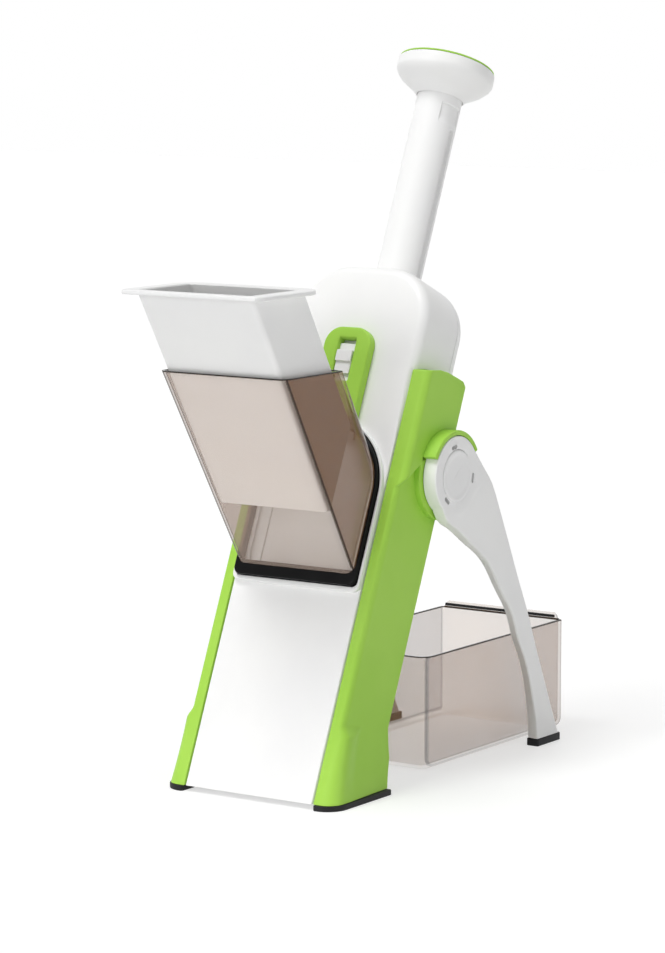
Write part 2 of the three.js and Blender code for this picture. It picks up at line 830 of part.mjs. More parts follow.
function sidePanel() {
  const stations = [0, 0.16, 0.33, 0.5, 0.75, 1].map((share) => share * panelFlareHeight);
  const form = loft([...stations, panelTop + overrun].map(panelRing));
  const profile = panelProfile();
  const span = [panelInner, panelHalfWidth];
  const lug = axle(lugRadius, span, [hubDepth, hubAlong]);
  const lugKeep = axle(lugRadius, [panelInner - overrun, legOuter], [hubDepth, hubAlong]);
  const pocketOutline = insetOutline(profile, panelWall);
  const pocket = plate(pocketOutline, panelInner - overrun, recessHalfWidth - panelWall)
    .subtract(lugKeep)
    .subtract(belowHeight(housingLift + housingFloor));
  const bore = axle(pivotRadius + clearance, [panelInner - overrun, legOuter], [hubDepth, hubAlong]);
  return form
    .intersect(plate(profile, panelInner, legOuter))
    .subtract(recessCut().subtract(lugKeep))
    .subtract(flareCut())
    .add(lug)
    .add(hubCollar())
    .subtract(frontForm(-clearance, coverBack))
    .subtract(pocket)
    .subtract(bore)
    .subtract(belowHeight(housingLift));
}

function pivotPin() {
  const web = legInner + legWeb;
  const shank = axle(pivotRadius, [panelInner + clearance, web + overrun / 2], [hubDepth, hubAlong]);
  const headSpan = [web + clearance, web + clearance + pivotHeadThickness];
  return shank.add(axle(pivotHeadRadius, headSpan, [hubDepth, hubAlong]));
}

function baseFoot() {
  const radii = [footCornerRadius, footSmallRadius, footSmallRadius, footSmallRadius];
  const points = roundedRectangle([footInnerHalfWidth, footHalfWidth], [0, footReach], radii);
  return tier(points, 0, housingLift - clearance);
}

// Legs, drawn for the right side about the hub

function legTaper(height, taper) {
  const drop = Math.max(0, -height - legDiscRadius);
  return taper * drop / (hubHeight - legDiscRadius);
}

function legRing(outer) {
  const rear = legRearShares.map(([u, v]) => [u * legReach, v * hubHeight]);
  const front = legFrontShares.map(([u, v], i) => {
    const bevel = outer ? 0 : legBevel * legBevelShares[i];
    return [u * legReach + bevel * Math.cos(legBevelAngle), v * hubHeight + bevel * Math.sin(legBevelAngle)];
  });
  front[0][1] = -hubHeight;
  const face = outer ? legOuter : legInner + legArmStep;
  const taper = outer ? legOuterTaper : legInnerTaper;
  return [...rear, ...front].map(([y, z]) => new THREE.Vector3(face - legTaper(z, taper), y, z));
}

function legForm() {
  return loft([legRing(true), legRing(false)]).add(axle(legDiscRadius, [legInner, legOuter], [0, 0]));
}

function belowPad(height) {
  const reach = legReach * 2;
  return block([0, reach], [-reach, reach], [-hubHeight - reach, height - hubHeight]);
}

function legSlots() {
  return joined(slotAngleShares.map((share) => {
    const slot = new THREE.BoxGeometry(slotDepth * 2, slotWidth, slotLength).translate(legOuter, slotRingRadius, 0);
    return solid(slot.rotateX(share * Math.PI * 2));
  }));
}

function leg() {
  const bore = axle(pivotRadius + clearance, [legInner - overrun, legOuter], [0, 0]);
  const well = axle(buttonRadius + clearance, [legInner + legWeb, legOuter + overrun], [0, 0]);
  return legForm().subtract(bore).subtract(well).subtract(legSlots()).subtract(belowPad(legPadHeight));
}

function legPad() {
  return legForm().intersect(belowPad(legPadHeight - clearance));
}

function legButton() {
  const outer = legOuter + buttonProud;
  const inner = outer - buttonThickness - buttonSkirtDepth;
  const body = axle(buttonRadius, [inner, outer], [0, 0]);
  return body.subtract(axle(buttonRadius - buttonSkirt, [inner - overrun, outer - buttonThickness], [0, 0]));
}

// Plunger

function plungerTube() {
  const wall = [[tubeBoreRadius, tubeBottom], [tubeRadius, tubeBottom], [tubeRadius, tubeTop], [tubeBoreRadius, tubeTop]];
  const tube = turned([...wall, wall[0]], tubeDepth, roundSteps);
  const depths = [tubeDepth - grooveHalfWidth, tubeDepth + grooveHalfWidth];
  const floor = tubeRadius - grooveDepth;
  const groove = block([floor, tubeRadius + overrun], depths, [tubeBottom - overrun, grooveTop]);
  return tube.subtract(groove).subtract(mirrored(groove));
}

function guideBush() {
  const inner = tubeRadius + clearance;
  const outer = inner + bushThickness;
  const lower = shelfHeight - clearance - bushFlange;
  const profile = [
    [inner, bushBottom], [outer, bushBottom], [outer, lower], [bushFlangeRadius, lower],
    [bushFlangeRadius, shelfHeight - clearance], [outer, shelfHeight - clearance],
    [outer, bushTop - bushFlange], [bushFlangeRadius, bushTop - bushFlange],
    [bushFlangeRadius, bushTop], [inner, bushTop], [inner, bushBottom],
  ];
  const key = block(
    [tubeRadius - grooveDepth + clearance, inner + bushThickness / 2],
    [tubeDepth - grooveHalfWidth + clearance, tubeDepth + grooveHalfWidth - clearance],
    [bushBottom, bushTop]);
  return turned(profile, tubeDepth).add(key).add(mirrored(key));
}

function handleKnob() {
  const bandBottom = knobTop - knobBand;
  const dome = knobDomeShares.map(([u, v]) => [
    THREE.MathUtils.lerp(knobNeckRadius, knobRadius, u), THREE.MathUtils.lerp(knobBottom, bandBottom, v),
  ]);
  const socket = tubeRadius + clearance;
  const profile = [
    [0, knobPlugBottom], [knobPlugRadius, knobPlugBottom], [knobPlugRadius, tubeTop + clearance],
    [socket, tubeTop + clearance], [socket, knobBottom], ...dome,
    [knobRadius, knobTop - knobEdge], [knobRadius - knobEdge, knobTop], [0, knobTop],
  ];
  return turned(profile, tubeDepth, roundSteps);
}

function knobCap() {
  const bottom = knobTop + clearance;
  const top = bottom + capEdge;
  const steps = arcSteps;
  const dome = Array.from({ length: steps + 1 }, (_, i) => {
    const share = 1 - i / steps;
    return [capRadius * share, top + capDome * (1 - share * share)];
  });
  return turned([[0, bottom], [capRadius, bottom], ...dome], tubeDepth, roundSteps);
}

// Blade carriage

function vee(halfWidth, bottom, edge, rise) {
  return [[-halfWidth, bottom], [halfWidth, bottom], [halfWidth, edge], [0, edge + rise], [-halfWidth, edge]];
}

function rodEar(side, bottom) {
  const span = side > 0 ? [earInner, frameHalfWidth] : [-frameHalfWidth, -earInner];
  const ear = block(span, [frameBack - overrun / 2, earBack], [bottom, bottom + earHeight]);
  const bore = post(
    rodRadius + clearance, [side * rodAcross, rodDepth], [bottom - overrun, bottom + earHeight + overrun],
    smallRoundSteps);
  return ear.subtract(bore);
}

function carriageYoke() {
  const outer = windowHalfWidth + clearance + yokeLeg;
  const rows = [yokeBottom, yokeBottom + yokeHeight];
  const bar = block([-outer, outer], [yokeFront, yokeFront + yokeThickness], rows);
  const depths = [frameBack - overrun / 2, yokeFront + yokeThickness];
  const right = block([outer - yokeLeg, outer], depths, rows);
  const span = [yokeFront - overrun, yokeFront + yokeThickness + overrun];
  const holes = [
    stub(dialShaftRadius + clearance, span, [-dialAcross, dialAlong]),
    stub(dialShaftRadius + clearance, span, [dialAcross, dialAlong]),
    stub(guidePostRadius + clearance, span, [0, dialAlong]),
    stub(combPinRadius + clearance, span, [combHalfWidth - combStripWidth / 2, dialAlong], arcSteps * 2),
    stub(combPinRadius + clearance, span, [combStripWidth / 2 - combHalfWidth, dialAlong], arcSteps * 2),
  ];
  return joined([bar, right, mirrored(right)]).subtract(joined(holes));
}

function carriageArm() {
  const rows = [collarBottom, collarBottom + collarHeight];
  const radius = tubeRadius + clearance + carriageCollarWall;
  const collar = post(radius, [0, tubeDepth], rows);
  const arm = block([-armHalfWidth, armHalfWidth], [frameBack - overrun / 2, tubeDepth], rows);
  const reach = (tubeDepth - frameBack) * gussetReachShare;
  const front = frameBack - overrun / 2;
  const triangle = [
    [front, collarBottom + overrun], [front, collarBottom - gussetHeight],
    [frameBack, collarBottom - gussetHeight], [frameBack + reach, collarBottom], [frameBack + reach, collarBottom + overrun],
  ];
  const gusset = plate(triangle, armHalfWidth - gussetThickness, armHalfWidth);
  const bore = post(tubeBoreRadius - clearance - clearance / 3, [0, tubeDepth], [rows[0] - overrun, rows[1] + overrun]);
  const socket = post(tubeRadius + clearance, [0, tubeDepth], [collarBottom + collarFloor, rows[1] + overrun]);
  return joined([collar, arm, gusset, mirrored(gusset)]).subtract(bore).subtract(socket);
}

function bladeCarriage() {
  const radii = [frameFootRadius, frameCornerRadius, frameCornerRadius, frameFootRadius];
  const frame = roundedRectangle([-frameHalfWidth, frameHalfWidth], [frameBottom, frameTop], radii);
  const window = vee(windowHalfWidth, windowBottom, bladeEdgeSides + throat, bladeVee);
  const ears = [1, -1].flatMap((side) => [rodEar(side, frameBottom), rodEar(side, upperEarBottom)]);
  return slab(frame, frameFront, frameBack)
    .subtract(slab(window, frameFront - overrun, frameBack + overrun))
    .add(joined(ears))
    .add(carriageYoke())
    .add(carriageArm());
}

function slicingBlade() {
  const ring = (depth, bevel) => [
    [-bladeHalfWidth, bladeEdgeSides + bevel], [0, bladeEdgeMiddle + bevel], [bladeHalfWidth, bladeEdgeSides + bevel],
    [bladeHalfWidth, bladeEdgeSides + bladeHeight], [0, bladeEdgeMiddle + bladeHeight],
    [-bladeHalfWidth, bladeEdgeSides + bladeHeight],
  ].map(([across, along]) => new THREE.Vector3(across, depth, along));
  return loft([ring(bladeFront, 0), ring(bladeFront + bladeThickness, bladeBevel)]);
}

function toothPlaces() {
  return Array.from({ length: toothSideCount * 2 + 1 }, (_, i) => (i - toothSideCount) * toothPitch);
}

function thicknessPlate() {
  const back = plateFront + plateThickness;
  const bottom = windowBottom + clearance + clearance;
  const form = slab(vee(plateHalfWidth, bottom, bladeEdgeSides - plateEdgeGap, bladeVee), plateFront, back);
  const middle = combBarBottom + combBarHeight / 2;
  const half = toothHeight / 2 + toothSlotGap;
  const slots = toothPlaces().map((across) => block(
    [across - toothWidth / 2 - toothSlotGap, across + toothWidth / 2 + toothSlotGap],
    [plateFront - overrun, back + overrun], [middle - half, middle + half]));
  return form
    .subtract(joined(slots))
    .add(stub(guidePostRadius, [back - plateThickness / 2, back + guidePostLength], [0, dialAlong]))
    .add(stub(followerRadius, [back - plateThickness / 2, back + followerLength], [-dialAcross, dialAlong]));
}

function julienneComb() {
  const back = combFront + combThickness;
  const depths = [combFront, back];
  const barRows = [combBarBottom, combBarBottom + combBarHeight];
  const bar = block([-combHalfWidth, combHalfWidth], depths, barRows);
  const strip = block([combHalfWidth - combStripWidth, combHalfWidth], depths, [yokeBottom, combBarBottom + overrun]);
  const tabRows = [yokeBottom + overrun, yokeBottom + yokeHeight - overrun];
  const tab = block([combTabInner, combHalfWidth], depths, tabRows);
  const middle = combBarBottom + combBarHeight / 2;
  const teeth = toothPlaces().map((across) => block(
    [across - toothWidth / 2, across + toothWidth / 2],
    [toothTip, combFront + combThickness / 2], [middle - toothHeight / 2, middle + toothHeight / 2]));
  const pinPlace = [combHalfWidth - combStripWidth / 2, dialAlong];
  const pin = stub(combPinRadius, [combFront + combThickness / 2, back + combPinLength], pinPlace, arcSteps * 2);
  return joined([bar, strip, mirrored(strip), tab, ...teeth, pin, mirrored(pin)]);
}

function dial(radius, across, shaftFront) {
  const disc = stub(radius, [dialFront, dialFront + dialThickness], [across, dialAlong], roundSteps);
  const shaft = stub(dialShaftRadius, [shaftFront, dialFront + dialThickness / 2], [across, dialAlong]);
  const notches = Array.from({ length: dialNotchCount }, (_, i) => {
    const angle = i / dialNotchCount * Math.PI * 2;
    const place = [across + radius * Math.cos(angle), dialAlong + radius * Math.sin(angle)];
    return stub(dialNotchRadius, [dialFront - overrun, dialFront + dialThickness + overrun], place, arcSteps);
  });
  return disc.subtract(joined(notches)).add(shaft);
}

// Rods and spring

function springSeat() {
  const rows = [springSeatTop - springSeatThickness, springSeatTop];
  const disc = post(springSeatRadius, [0, tubeDepth], rows);
  const back = coverBack - housingWall - clearance;
  const arm = block([-springSeatArmHalfWidth, springSeatArmHalfWidth], [tubeDepth, back], rows);
  const foot = block(
    [-springSeatFootHalfWidth, springSeatFootHalfWidth], [back - springSeatFootThickness, back],
    [springSeatTop - springSeatFootHeight + overrun, springSeatTop + overrun]);
  return joined([disc, arm, foot]);
}

// One unbroken wire: the curls run from the seat up to the plug inside the knob.
function springLine() {
  const bottom = springSeatTop + clearance + springWireRadius;
  const top = knobPlugBottom - clearance - springWireRadius;
  const count = springCurls * springSteps;
  return Array.from({ length: count + 1 }, (_, i) => {
    const angle = i / springSteps * Math.PI * 2;
    const along = THREE.MathUtils.lerp(bottom, top, i / count);
    return new THREE.Vector3(springRadius * Math.cos(angle), tubeDepth + springRadius * Math.sin(angle), along);
  });
}

function leastSpringGap(line) {
  let least = Infinity;
  line.forEach((point, i) => {
    for (let j = i + springSteps / 2; j < line.length; j += 1) {
      least = Math.min(least, point.distanceTo(line[j]));
    }
  });
  return least - springWireRadius * 2;
}

function returnSpring(line) {
  const rings = line.map((point, i) => {
    const before = line[Math.max(0, i - 1)];
    const after = line[Math.min(line.length - 1, i + 1)];
    const tangent = after.clone().sub(before).normalize();
    const outward = new THREE.Vector3(point.x, point.y - tubeDepth, 0).normalize();
    const upward = tangent.clone().cross(outward).normalize();
    return Array.from({ length: springSides }, (_, j) => {
      const angle = j / springSides * Math.PI * 2;
      const offset = outward.clone().multiplyScalar(Math.cos(angle) * springWireRadius);
      return point.clone().add(offset).addScaledVector(upward, Math.sin(angle) * springWireRadius);
    });
  });
  return loft(rings);
}

// Food chute and pusher, in the object's upright directions

const archPlace = toWorld(0, archCentre);
const chuteRimFront = [archPlace[0] - chuteRimReach, archPlace[1] + chuteRimRise];
const pusherTop = chuteRimFront[1] + pusherRise;
const pusherLowest = chuteRimFront[1] - pusherDrop;
const chuteBaseFront = toWorld(-gasketProud - clearance, chuteBaseBottom);
const chuteBaseBack = archCentre + chuteBaseHalfWidth - chuteBaseBottom - chuteBaseSide;
const chuteFall = [chuteBaseFront[0] - chuteRimFront[0], chuteRimFront[1] - chuteBaseFront[1]];
const chuteAngle = Math.atan2(chuteFall[0], chuteFall[1]);

// A section of the chute: flat front with rounded corners, straight sides, curved back.
function chuteSection(half, side, back, power, inset) {
  const radius = chuteCornerRadius - inset;
  const right = arc([half - radius, inset + radius], radius, -Math.PI / 2, 0, 3);
  const steps = arcSteps * 2;
  for (let i = 0; i <= steps; i += 1) {
    const angle = i / steps * Math.PI / 2;
    const size = Math.pow(Math.cos(angle) ** power + Math.sin(angle) ** power, -1 / power);
    right.push([i === steps ? 0 : half * size * Math.cos(angle), side + back * size * Math.sin(angle)]);
  }
  const left = right.slice(0, -1).map(([across, run]) => [-across, run]).reverse();
  return [...right, ...left];
}

function rimSection(halfWidth, power, inset) {
  return chuteSection(halfWidth - inset, chuteRimSide, chuteRimBack - inset, power, inset);
}

function rimRing(inset) {
  const [y, z] = chuteRimFront;
  return rimSection(chuteRimHalfWidth, chuteRimPower, inset).map(([across, run]) => new THREE.Vector3(across, y + run, z));
}

function baseRing(inset) {
  const [y, z] = chuteBaseFront;
  const section = chuteSection(
    chuteBaseHalfWidth - inset, chuteBaseSide, chuteBaseBack - inset, chuteBasePower, inset);
  return section.map(([across, run]) => new THREE.Vector3(
    across, y + run * Math.sin(bodyLean), z + run * Math.cos(bodyLean)));
}

// Straight lines run from the level rim to the arch on the housing.
function chuteSkin(inset) {
  const rim = rimRing(inset);
  const base = baseRing(inset);
  return Array.from({ length: chuteRings }, (_, i) => (
    rim.map((point, j) => point.clone().lerp(base[j], i / (chuteRings - 1)))));
}

function foodChute() {
  return loft([...chuteSkin(0), ...chuteSkin(chuteWall).reverse()], true);
}

function pusherRing(inset, height) {
  const shift = chuteRimFront[0] + (chuteRimFront[1] - height) * Math.tan(chuteAngle);
  const share = (height - pusherLowest) / (pusherTop + pusherFlange - pusherLowest);
  const half = THREE.MathUtils.lerp(chuteBaseHalfWidth, pusherTopHalfWidth, share);
  return rimSection(half, pusherBackPower, inset)
    .map(([across, run]) => new THREE.Vector3(across, run + shift, height));
}

// Everything behind a depth, in the object's upright directions.
function behindDepth(depth) {
  const reach = housingHeight * 2;
  const box = new THREE.BoxGeometry(reach, reach, reach).translate(0, depth + reach / 2, 0);
  return solid(box.rotateX(-bodyLean));
}

function foodPusher() {
  const skin = chuteWall + pusherGap;
  const outer = loft([pusherRing(skin, pusherLowest), pusherRing(skin, pusherTop + pusherFlange)]);
  const hollowTop = pusherTop + pusherFlange + overrun;
  const hollow = loft([pusherRing(skin + pusherWall, pusherLowest), pusherRing(skin + pusherWall, hollowTop)])
    .subtract(behindDepth(-pusherStop - pusherWall));
  const ring = pusherRing(skin, pusherTop);
  const front = Math.min(...ring.map((point) => point.y)) - pusherFrontOverhang;
  const back = Math.max(...ring.map((point) => point.y)) + pusherOverhang;
  const half = pusherTopHalfWidth - skin + pusherSideOverhang;
  const radii = [1, 1, 1, 1].map(() => pusherFlangeRadius);
  const flange = tier(roundedRectangle([-half, half], [front, back], radii), pusherTop, pusherTop + pusherFlange);
  return outer.subtract(behindDepth(-pusherStop)).add(flange).subtract(hollow);
}

// Collection tray

function trayRing(inset, rounding, height) {
  const front = trayCornerRadius - inset - rounding;
  const back = Math.max(clearance, trayBackRadius - inset - rounding);
  const span = [inset + rounding - trayHalfWidth, trayHalfWidth - inset - rounding];
  const run = [trayFront + inset + rounding, trayBack - inset - rounding];
  return roundedRectangle(span, run, [front, back, back, front], 5)
    .map(([across, depth]) => new THREE.Vector3(across, depth, height));
}

function trayForm(inset, top) {
  const radius = trayEdgeRadius - inset;
  const steps = 4;
  const rings = Array.from({ length: steps + 1 }, (_, i) => {
    const angle = i / steps * Math.PI / 2;
    return trayRing(inset, radius * (1 - Math.sin(angle)), inset + radius * (1 - Math.cos(angle)));
  });
  return loft([...rings, trayRing(inset, 0, top)]);
}

function collectionTray() {
  const back = [trayBack - trayWall, trayBack];
  const lip = block([-trayLipHalfWidth, trayLipHalfWidth], back, [trayHeight - overrun, trayHeight + trayLipHeight]);
  return trayForm(0, trayHeight).subtract(trayForm(trayWall, trayHeight + overrun)).add(lip);
}

function trayStrip() {
  const back = trayBack - trayWall - clearance;
  const bottom = trayHeight + stripRise;
  return block([-stripHalfWidth, stripHalfWidth], [back - stripThickness, back], [bottom, bottom + stripHeight]);
}

// Assembly

const chopper = new THREE.Group();
const assembly = new THREE.Group();
const body = new THREE.Group();
const legs = new THREE.Group();
chopper.add(assembly);
assembly.add(body);
body.rotation.x = -bodyLean;
body.add(legs);
legs.position.set(0, hubDepth, hubAlong);
legs.rotation.x = bodyLean;

function addPart(parent, name, form, look) {
  const geometry = geometryOf(form);
  geometry.computeVertexNormals();
  const mesh = new THREE.Mesh(geometry, new THREE.MeshStandardMaterial({ ...look, flatShading: true }));
  mesh.name = name;
  parent.add(mesh);
  return mesh;
}

function addPair(parent, name, form, look) {
  addPart(parent, `right_${name}`, form, look);
  addPart(parent, `left_${name}`, mirrored(form), look);
}

addPart(body, "front_housing", frontHousing(), white);
addPart(body, "rear_cover", rearCover(), white);
addPair(body, "side_panel", sidePanel(), green);
addPair(assembly, "base_foot", baseFoot(), rubber);
addPart(body, "latch_bezel", latchBezel(), green);
addPart(body, "guide_bush", guideBush(), white);
addPair(body, "pivot_pin", pivotPin(), steel);
addPair(body, "guide_rod", post(rodRadius, [rodAcross, rodDepth], [rodBottom, rodTop], smallRoundSteps), steel);
addPart(body, "spring_seat", springSeat(), white);
const springRodRows = [springSeatTop + clearance, springRodTop];
addPart(body, "spring_guide_rod", post(springRodRadius, [0, tubeDepth], springRodRows, smallRoundSteps), steel);

addPart(body, "plunger_tube", plungerTube(), white);
addPart(body, "handle_knob", handleKnob(), white);
addPart(body, "knob_cap", knobCap(), green);
addPart(body, "blade_carriage", bladeCarriage(), white);
addPart(body, "slicing_blade", slicingBlade(), steel);
addPart(body, "thickness_plate", thicknessPlate(), white);
addPart(body, "julienne_comb", julienneComb(), steel);
addPart(body, "thickness_dial", dial(thicknessDialRadius, -dialAcross, thicknessShaftFront), green);
const julienneShaftFront = combFront + combThickness + clearance;
addPart(body, "julienne_dial", dial(julienneDialRadius, dialAcross, julienneShaftFront), green);
const springPath = springLine();
console.log(`least gap of the return spring to itself: ${leastSpringGap(springPath).toFixed(2)} mm`);
addPart(body, "return_spring", returnSpring(springPath), steel);

addPart(assembly, "food_chute", foodChute(), smoke);
addPart(body, "chute_gasket", gasket(), rubber);
addPart(assembly, "food_pusher", foodPusher(), white);
addPart(body, "chute_latch", chuteLatch(), white);

addPair(legs, "leg", leg(), white);
addPair(legs, "leg_pad", legPad(), rubber);
addPair(legs, "leg_button", legButton(), green);

addPart(assembly, "collection_tray", collectionTray(), smoke);
addPart(assembly, "tray_strip", trayStrip(), rubber);

// The origin is under the middle of the whole object's box, on the table.
chopper.updateMatrixWorld(true);
const bounds = new THREE.Box3().setFromObject(chopper, true);
assembly.position.set(0, -(bounds.min.y + bounds.max.y) / 2, -bounds.min.z);

export default chopper;
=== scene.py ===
# %% [markdown]
# # An upright vegetable chopper
# A white housing leans back on two green side panels and two folding legs.
# A spring plunger drives a blade past a clear food chute in its front, and
# the slices fall into a clear tray behind it.
# The measured solids come first, as a fixed frame. Every piece made here is
# worked out in the same frame, so it needs no fitting: sizes are written in
# millimetres, and become metres only when a mesh is made.

# %% The frame
import json
import math

import bmesh
import bpy
import numpy as np
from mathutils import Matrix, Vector


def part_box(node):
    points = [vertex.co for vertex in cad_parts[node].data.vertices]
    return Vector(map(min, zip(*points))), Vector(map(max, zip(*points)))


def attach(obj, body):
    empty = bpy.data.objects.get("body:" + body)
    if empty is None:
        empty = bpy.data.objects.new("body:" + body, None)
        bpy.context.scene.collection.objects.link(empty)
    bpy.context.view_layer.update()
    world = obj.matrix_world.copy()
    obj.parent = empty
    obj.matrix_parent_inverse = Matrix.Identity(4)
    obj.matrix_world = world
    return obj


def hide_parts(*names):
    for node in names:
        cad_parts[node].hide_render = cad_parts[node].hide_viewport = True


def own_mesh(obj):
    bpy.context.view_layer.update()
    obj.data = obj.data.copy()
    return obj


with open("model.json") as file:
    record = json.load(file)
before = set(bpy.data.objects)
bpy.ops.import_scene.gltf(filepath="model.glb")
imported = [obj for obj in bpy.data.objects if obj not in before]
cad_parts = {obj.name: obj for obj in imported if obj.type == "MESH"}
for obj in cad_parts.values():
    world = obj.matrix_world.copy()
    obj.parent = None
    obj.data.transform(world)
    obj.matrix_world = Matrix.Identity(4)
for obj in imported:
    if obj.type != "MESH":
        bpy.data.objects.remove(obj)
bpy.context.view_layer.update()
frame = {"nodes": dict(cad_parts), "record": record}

nodes = frame["nodes"]

# %% [markdown]
# ## Two sets of directions
# The legs, the feet, the chute, the pusher and the tray are drawn upright: x to
# the right, y to the back, z up. The housing and what runs in it are drawn in
# its own leaning directions: across, depth from its front, along it from the
# table.

# %% Directions
MM = 0.001
LEAN = math.radians(23.4)
COS, SIN = math.cos(LEAN), math.sin(LEAN)
TRAY_FRONT = 124.0
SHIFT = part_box("collection_tray")[0].y / MM - TRAY_FRONT
SIDES = ((1.0, "right"), (-1.0, "left"))


def upright(points):
    """Millimetres to metres in the frame: a slide along y, then a scale."""
    return (np.asarray(points, float) + (0.0, SHIFT, 0.0)) * MM


def leaning(points):
    """Across, depth, along to the frame: y = depth cos + along sin, z = along cos - depth sin."""
    across, depth, along = np.moveaxis(np.asarray(points, float), -1, 0)
    return upright(np.stack([across, depth * COS + along * SIN, along * COS - depth * SIN], -1))


def level_at(depth, height):
    """Where a level plane crosses the housing: along = (height + depth sin) / cos."""
    return (height + depth * SIN) / COS


def lerp(a, b, share):
    """A straight mix: a at share 0, b at share 1."""
    return a + (b - a) * share


def ease(share):
    """A smooth step from 0 to 1: 3 s squared minus 2 s cubed."""
    s = np.clip(share, 0.0, 1.0)
    return s * s * (3.0 - 2.0 * s)


# %% [markdown]
# ## From rings to a mesh
# Nearly every shell here is a skin: a stack of closed rings with the same
# number of points, joined by quads. A solid gets a flat face at each end, and
# a hollow frame joins its last ring back to its first.

# %% Skins and pieces
WELD, SLIVER = 1e-7, 1e-8
SHARP, SHARP_CLEAR = 32.0, 50.0
made = {}


def skin(rings, looped=False):
    """Points and faces of a stack of rings, an array (rings, points, 3) in metres."""
    rings = np.asarray(rings, float)
    rows, columns = rings.shape[:2]
    i, j = np.meshgrid(np.arange(rows if looped else rows - 1), np.arange(columns), indexing="ij")
    low, high = i * columns, (i + 1) % rows * columns
    after = (j + 1) % columns
    quads = np.stack([low + j, low + after, high + after, high + j], -1).reshape(-1, 4).tolist()
    if not looped:
        quads.append(list(range(columns))[::-1])
        quads.append(list(range((rows - 1) * columns, rows * columns)))
    return rings.reshape(-1, 3), quads


def make_mesh(name, shells):
    """One mesh from closed shells, each (points, faces), with every face turned outwards."""
    points, faces, start = [], [], 0
    for shell_points, shell_faces in shells:
        points.append(shell_points)
        faces += [[start + k for k in face] for face in shell_faces]
        start += len(shell_points)
    mesh = bpy.data.meshes.new(name)
    mesh.from_pydata(np.concatenate(points).tolist(), [], faces)
    work = bmesh.new()
    work.from_mesh(mesh)
    bmesh.ops.remove_doubles(work, verts=work.verts, dist=WELD)
    bmesh.ops.dissolve_degenerate(work, edges=work.edges, dist=SLIVER)
    bmesh.ops.recalc_face_normals(work, faces=work.faces)
    work.to_mesh(mesh)
    work.free()
    return mesh


def shade(mesh, sharp):
    """Smooth shading, broken where faces meet above an angle in degrees."""
    mesh.shade_smooth()
    mesh.set_sharp_from_angle(angle=math.radians(sharp))


def in_scene(name, data):
    """A new object in the scene."""
    thing = bpy.data.objects.new(name, data)
    bpy.context.scene.collection.objects.link(thing)
    return thing


def make_piece(name, shells, body, replaces, slot, sharp=SHARP):
    """A piece, kept with its body, the solid that it stands for, and its slot."""
    mesh = make_mesh(name, shells)
    shade(mesh, sharp)
    piece = in_scene(name, mesh)
    made[name] = (piece, body, replaces, slot)
    print(f"made {name}: {len(mesh.polygons)} faces")
    return piece


def take_away(piece, tool_shells):
    """Cuts closed shells out of a piece, once, and keeps the result as its mesh."""
    tool = in_scene("cutting_tool", make_mesh("cutting_tool", tool_shells))
    cut = piece.modifiers.new("cut", "BOOLEAN")
    cut.operation, cut.solver, cut.object, cut.use_self = "DIFFERENCE", "EXACT", tool, True
    bpy.context.view_layer.update()
    view = bpy.context.evaluated_depsgraph_get()
    shape = bpy.data.meshes.new_from_object(piece.evaluated_get(view))
    piece.modifiers.remove(cut)
    piece.data = shape
    bpy.data.objects.remove(tool)
    shade(shape, SHARP)


# %% [markdown]
# ## Outlines with rounded corners
# An outline is a closed row of points in a plane. Outlines with equal numbers
# of points join ring to ring: the outside, the inside and each step of a
# rounded edge. An opening in a face gets its points along rays from its middle
# through those of the face's outline, so that both have the same number.

# %% Outlines
ARCH_CENTRE = 191.0
TUBE_RADIUS, TUBE_DEPTH = 14.1, 31.8
NEAR_AXIS, TINY = 0.02, 1e-9


def corner(centre, radius, start, stop, steps):
    """Points on an arc: centre plus radius times (cos, sin), in degrees."""
    angle = np.radians(np.linspace(start, stop, steps + 1))
    return np.stack([centre[0] + radius * np.cos(angle), centre[1] + radius * np.sin(angle)], -1)


def round_box(left, right, bottom, top, radii, steps=10):
    """A rectangle with four radii: lower right, upper right, upper left, lower left."""
    places = [(right, bottom, -1, 1), (right, top, -1, -1), (left, top, 1, -1), (left, bottom, 1, 1)]
    return np.concatenate([
        corner((x + a * r, y + b * r), r, 90 * k - 90, 90 * k, steps)
        for k, ((x, y, a, b), r) in enumerate(zip(places, radii))])


def inset_box(left, right, bottom, top, radii, steps):
    """A rounded rectangle as a function of how far it is set in."""
    return lambda inset: round_box(
        left + inset, right - inset, bottom + inset, top - inset, np.array(radii) - inset, steps)


def arch(half, bottom, radius):
    """A flat foot with rounded corners, straight sides, and half a circle on top."""
    return np.concatenate([
        corner((half - radius, bottom + radius), radius, -90, 0, 10),
        corner((0.0, ARCH_CENTRE), half, 0, 180, 72),
        corner((radius - half, bottom + radius), radius, 180, 270, 10)])


def mirrored(half, first=1):
    """An outline from its right half. An end on the middle line isn't repeated."""
    return np.concatenate([half, half[first:-1][::-1] * (-1.0, 1.0)])


def at_side(outline, across):
    """An outline laid in a plane at one place across the object."""
    return np.insert(outline, 0, across, axis=1)


def at_depth(outline, depth):
    """An outline (across, along) laid in the housing's directions at one depth."""
    return np.insert(outline, 1, depth, axis=1)


def at_height(outline, height):
    """An outline laid level, or laid across the housing at one place along it."""
    return np.insert(outline, 2, height, axis=1)


def rounded_steps(radius, steps=5):
    """Pairs (inset, run) down a quarter circle: inset r(1 - sin a), run r(1 - cos a)."""
    angle = np.linspace(0.0, np.pi / 2, steps + 1)
    return np.stack([radius * (1.0 - np.sin(angle)), radius * (1.0 - np.cos(angle))], -1)


def frame_rings(outer, inner, front, back, edge):
    """A closed frame between outer(inset) and inner(inset), with rounded front edges."""
    steps = rounded_steps(edge)
    rings = [at_depth(outer(0.0), back)]
    rings += [at_depth(outer(inset), front + run) for inset, run in steps[::-1]]
    rings += [at_depth(inner(inset), front + run) for inset, run in steps]
    return rings + [at_depth(inner(0.0), back)]


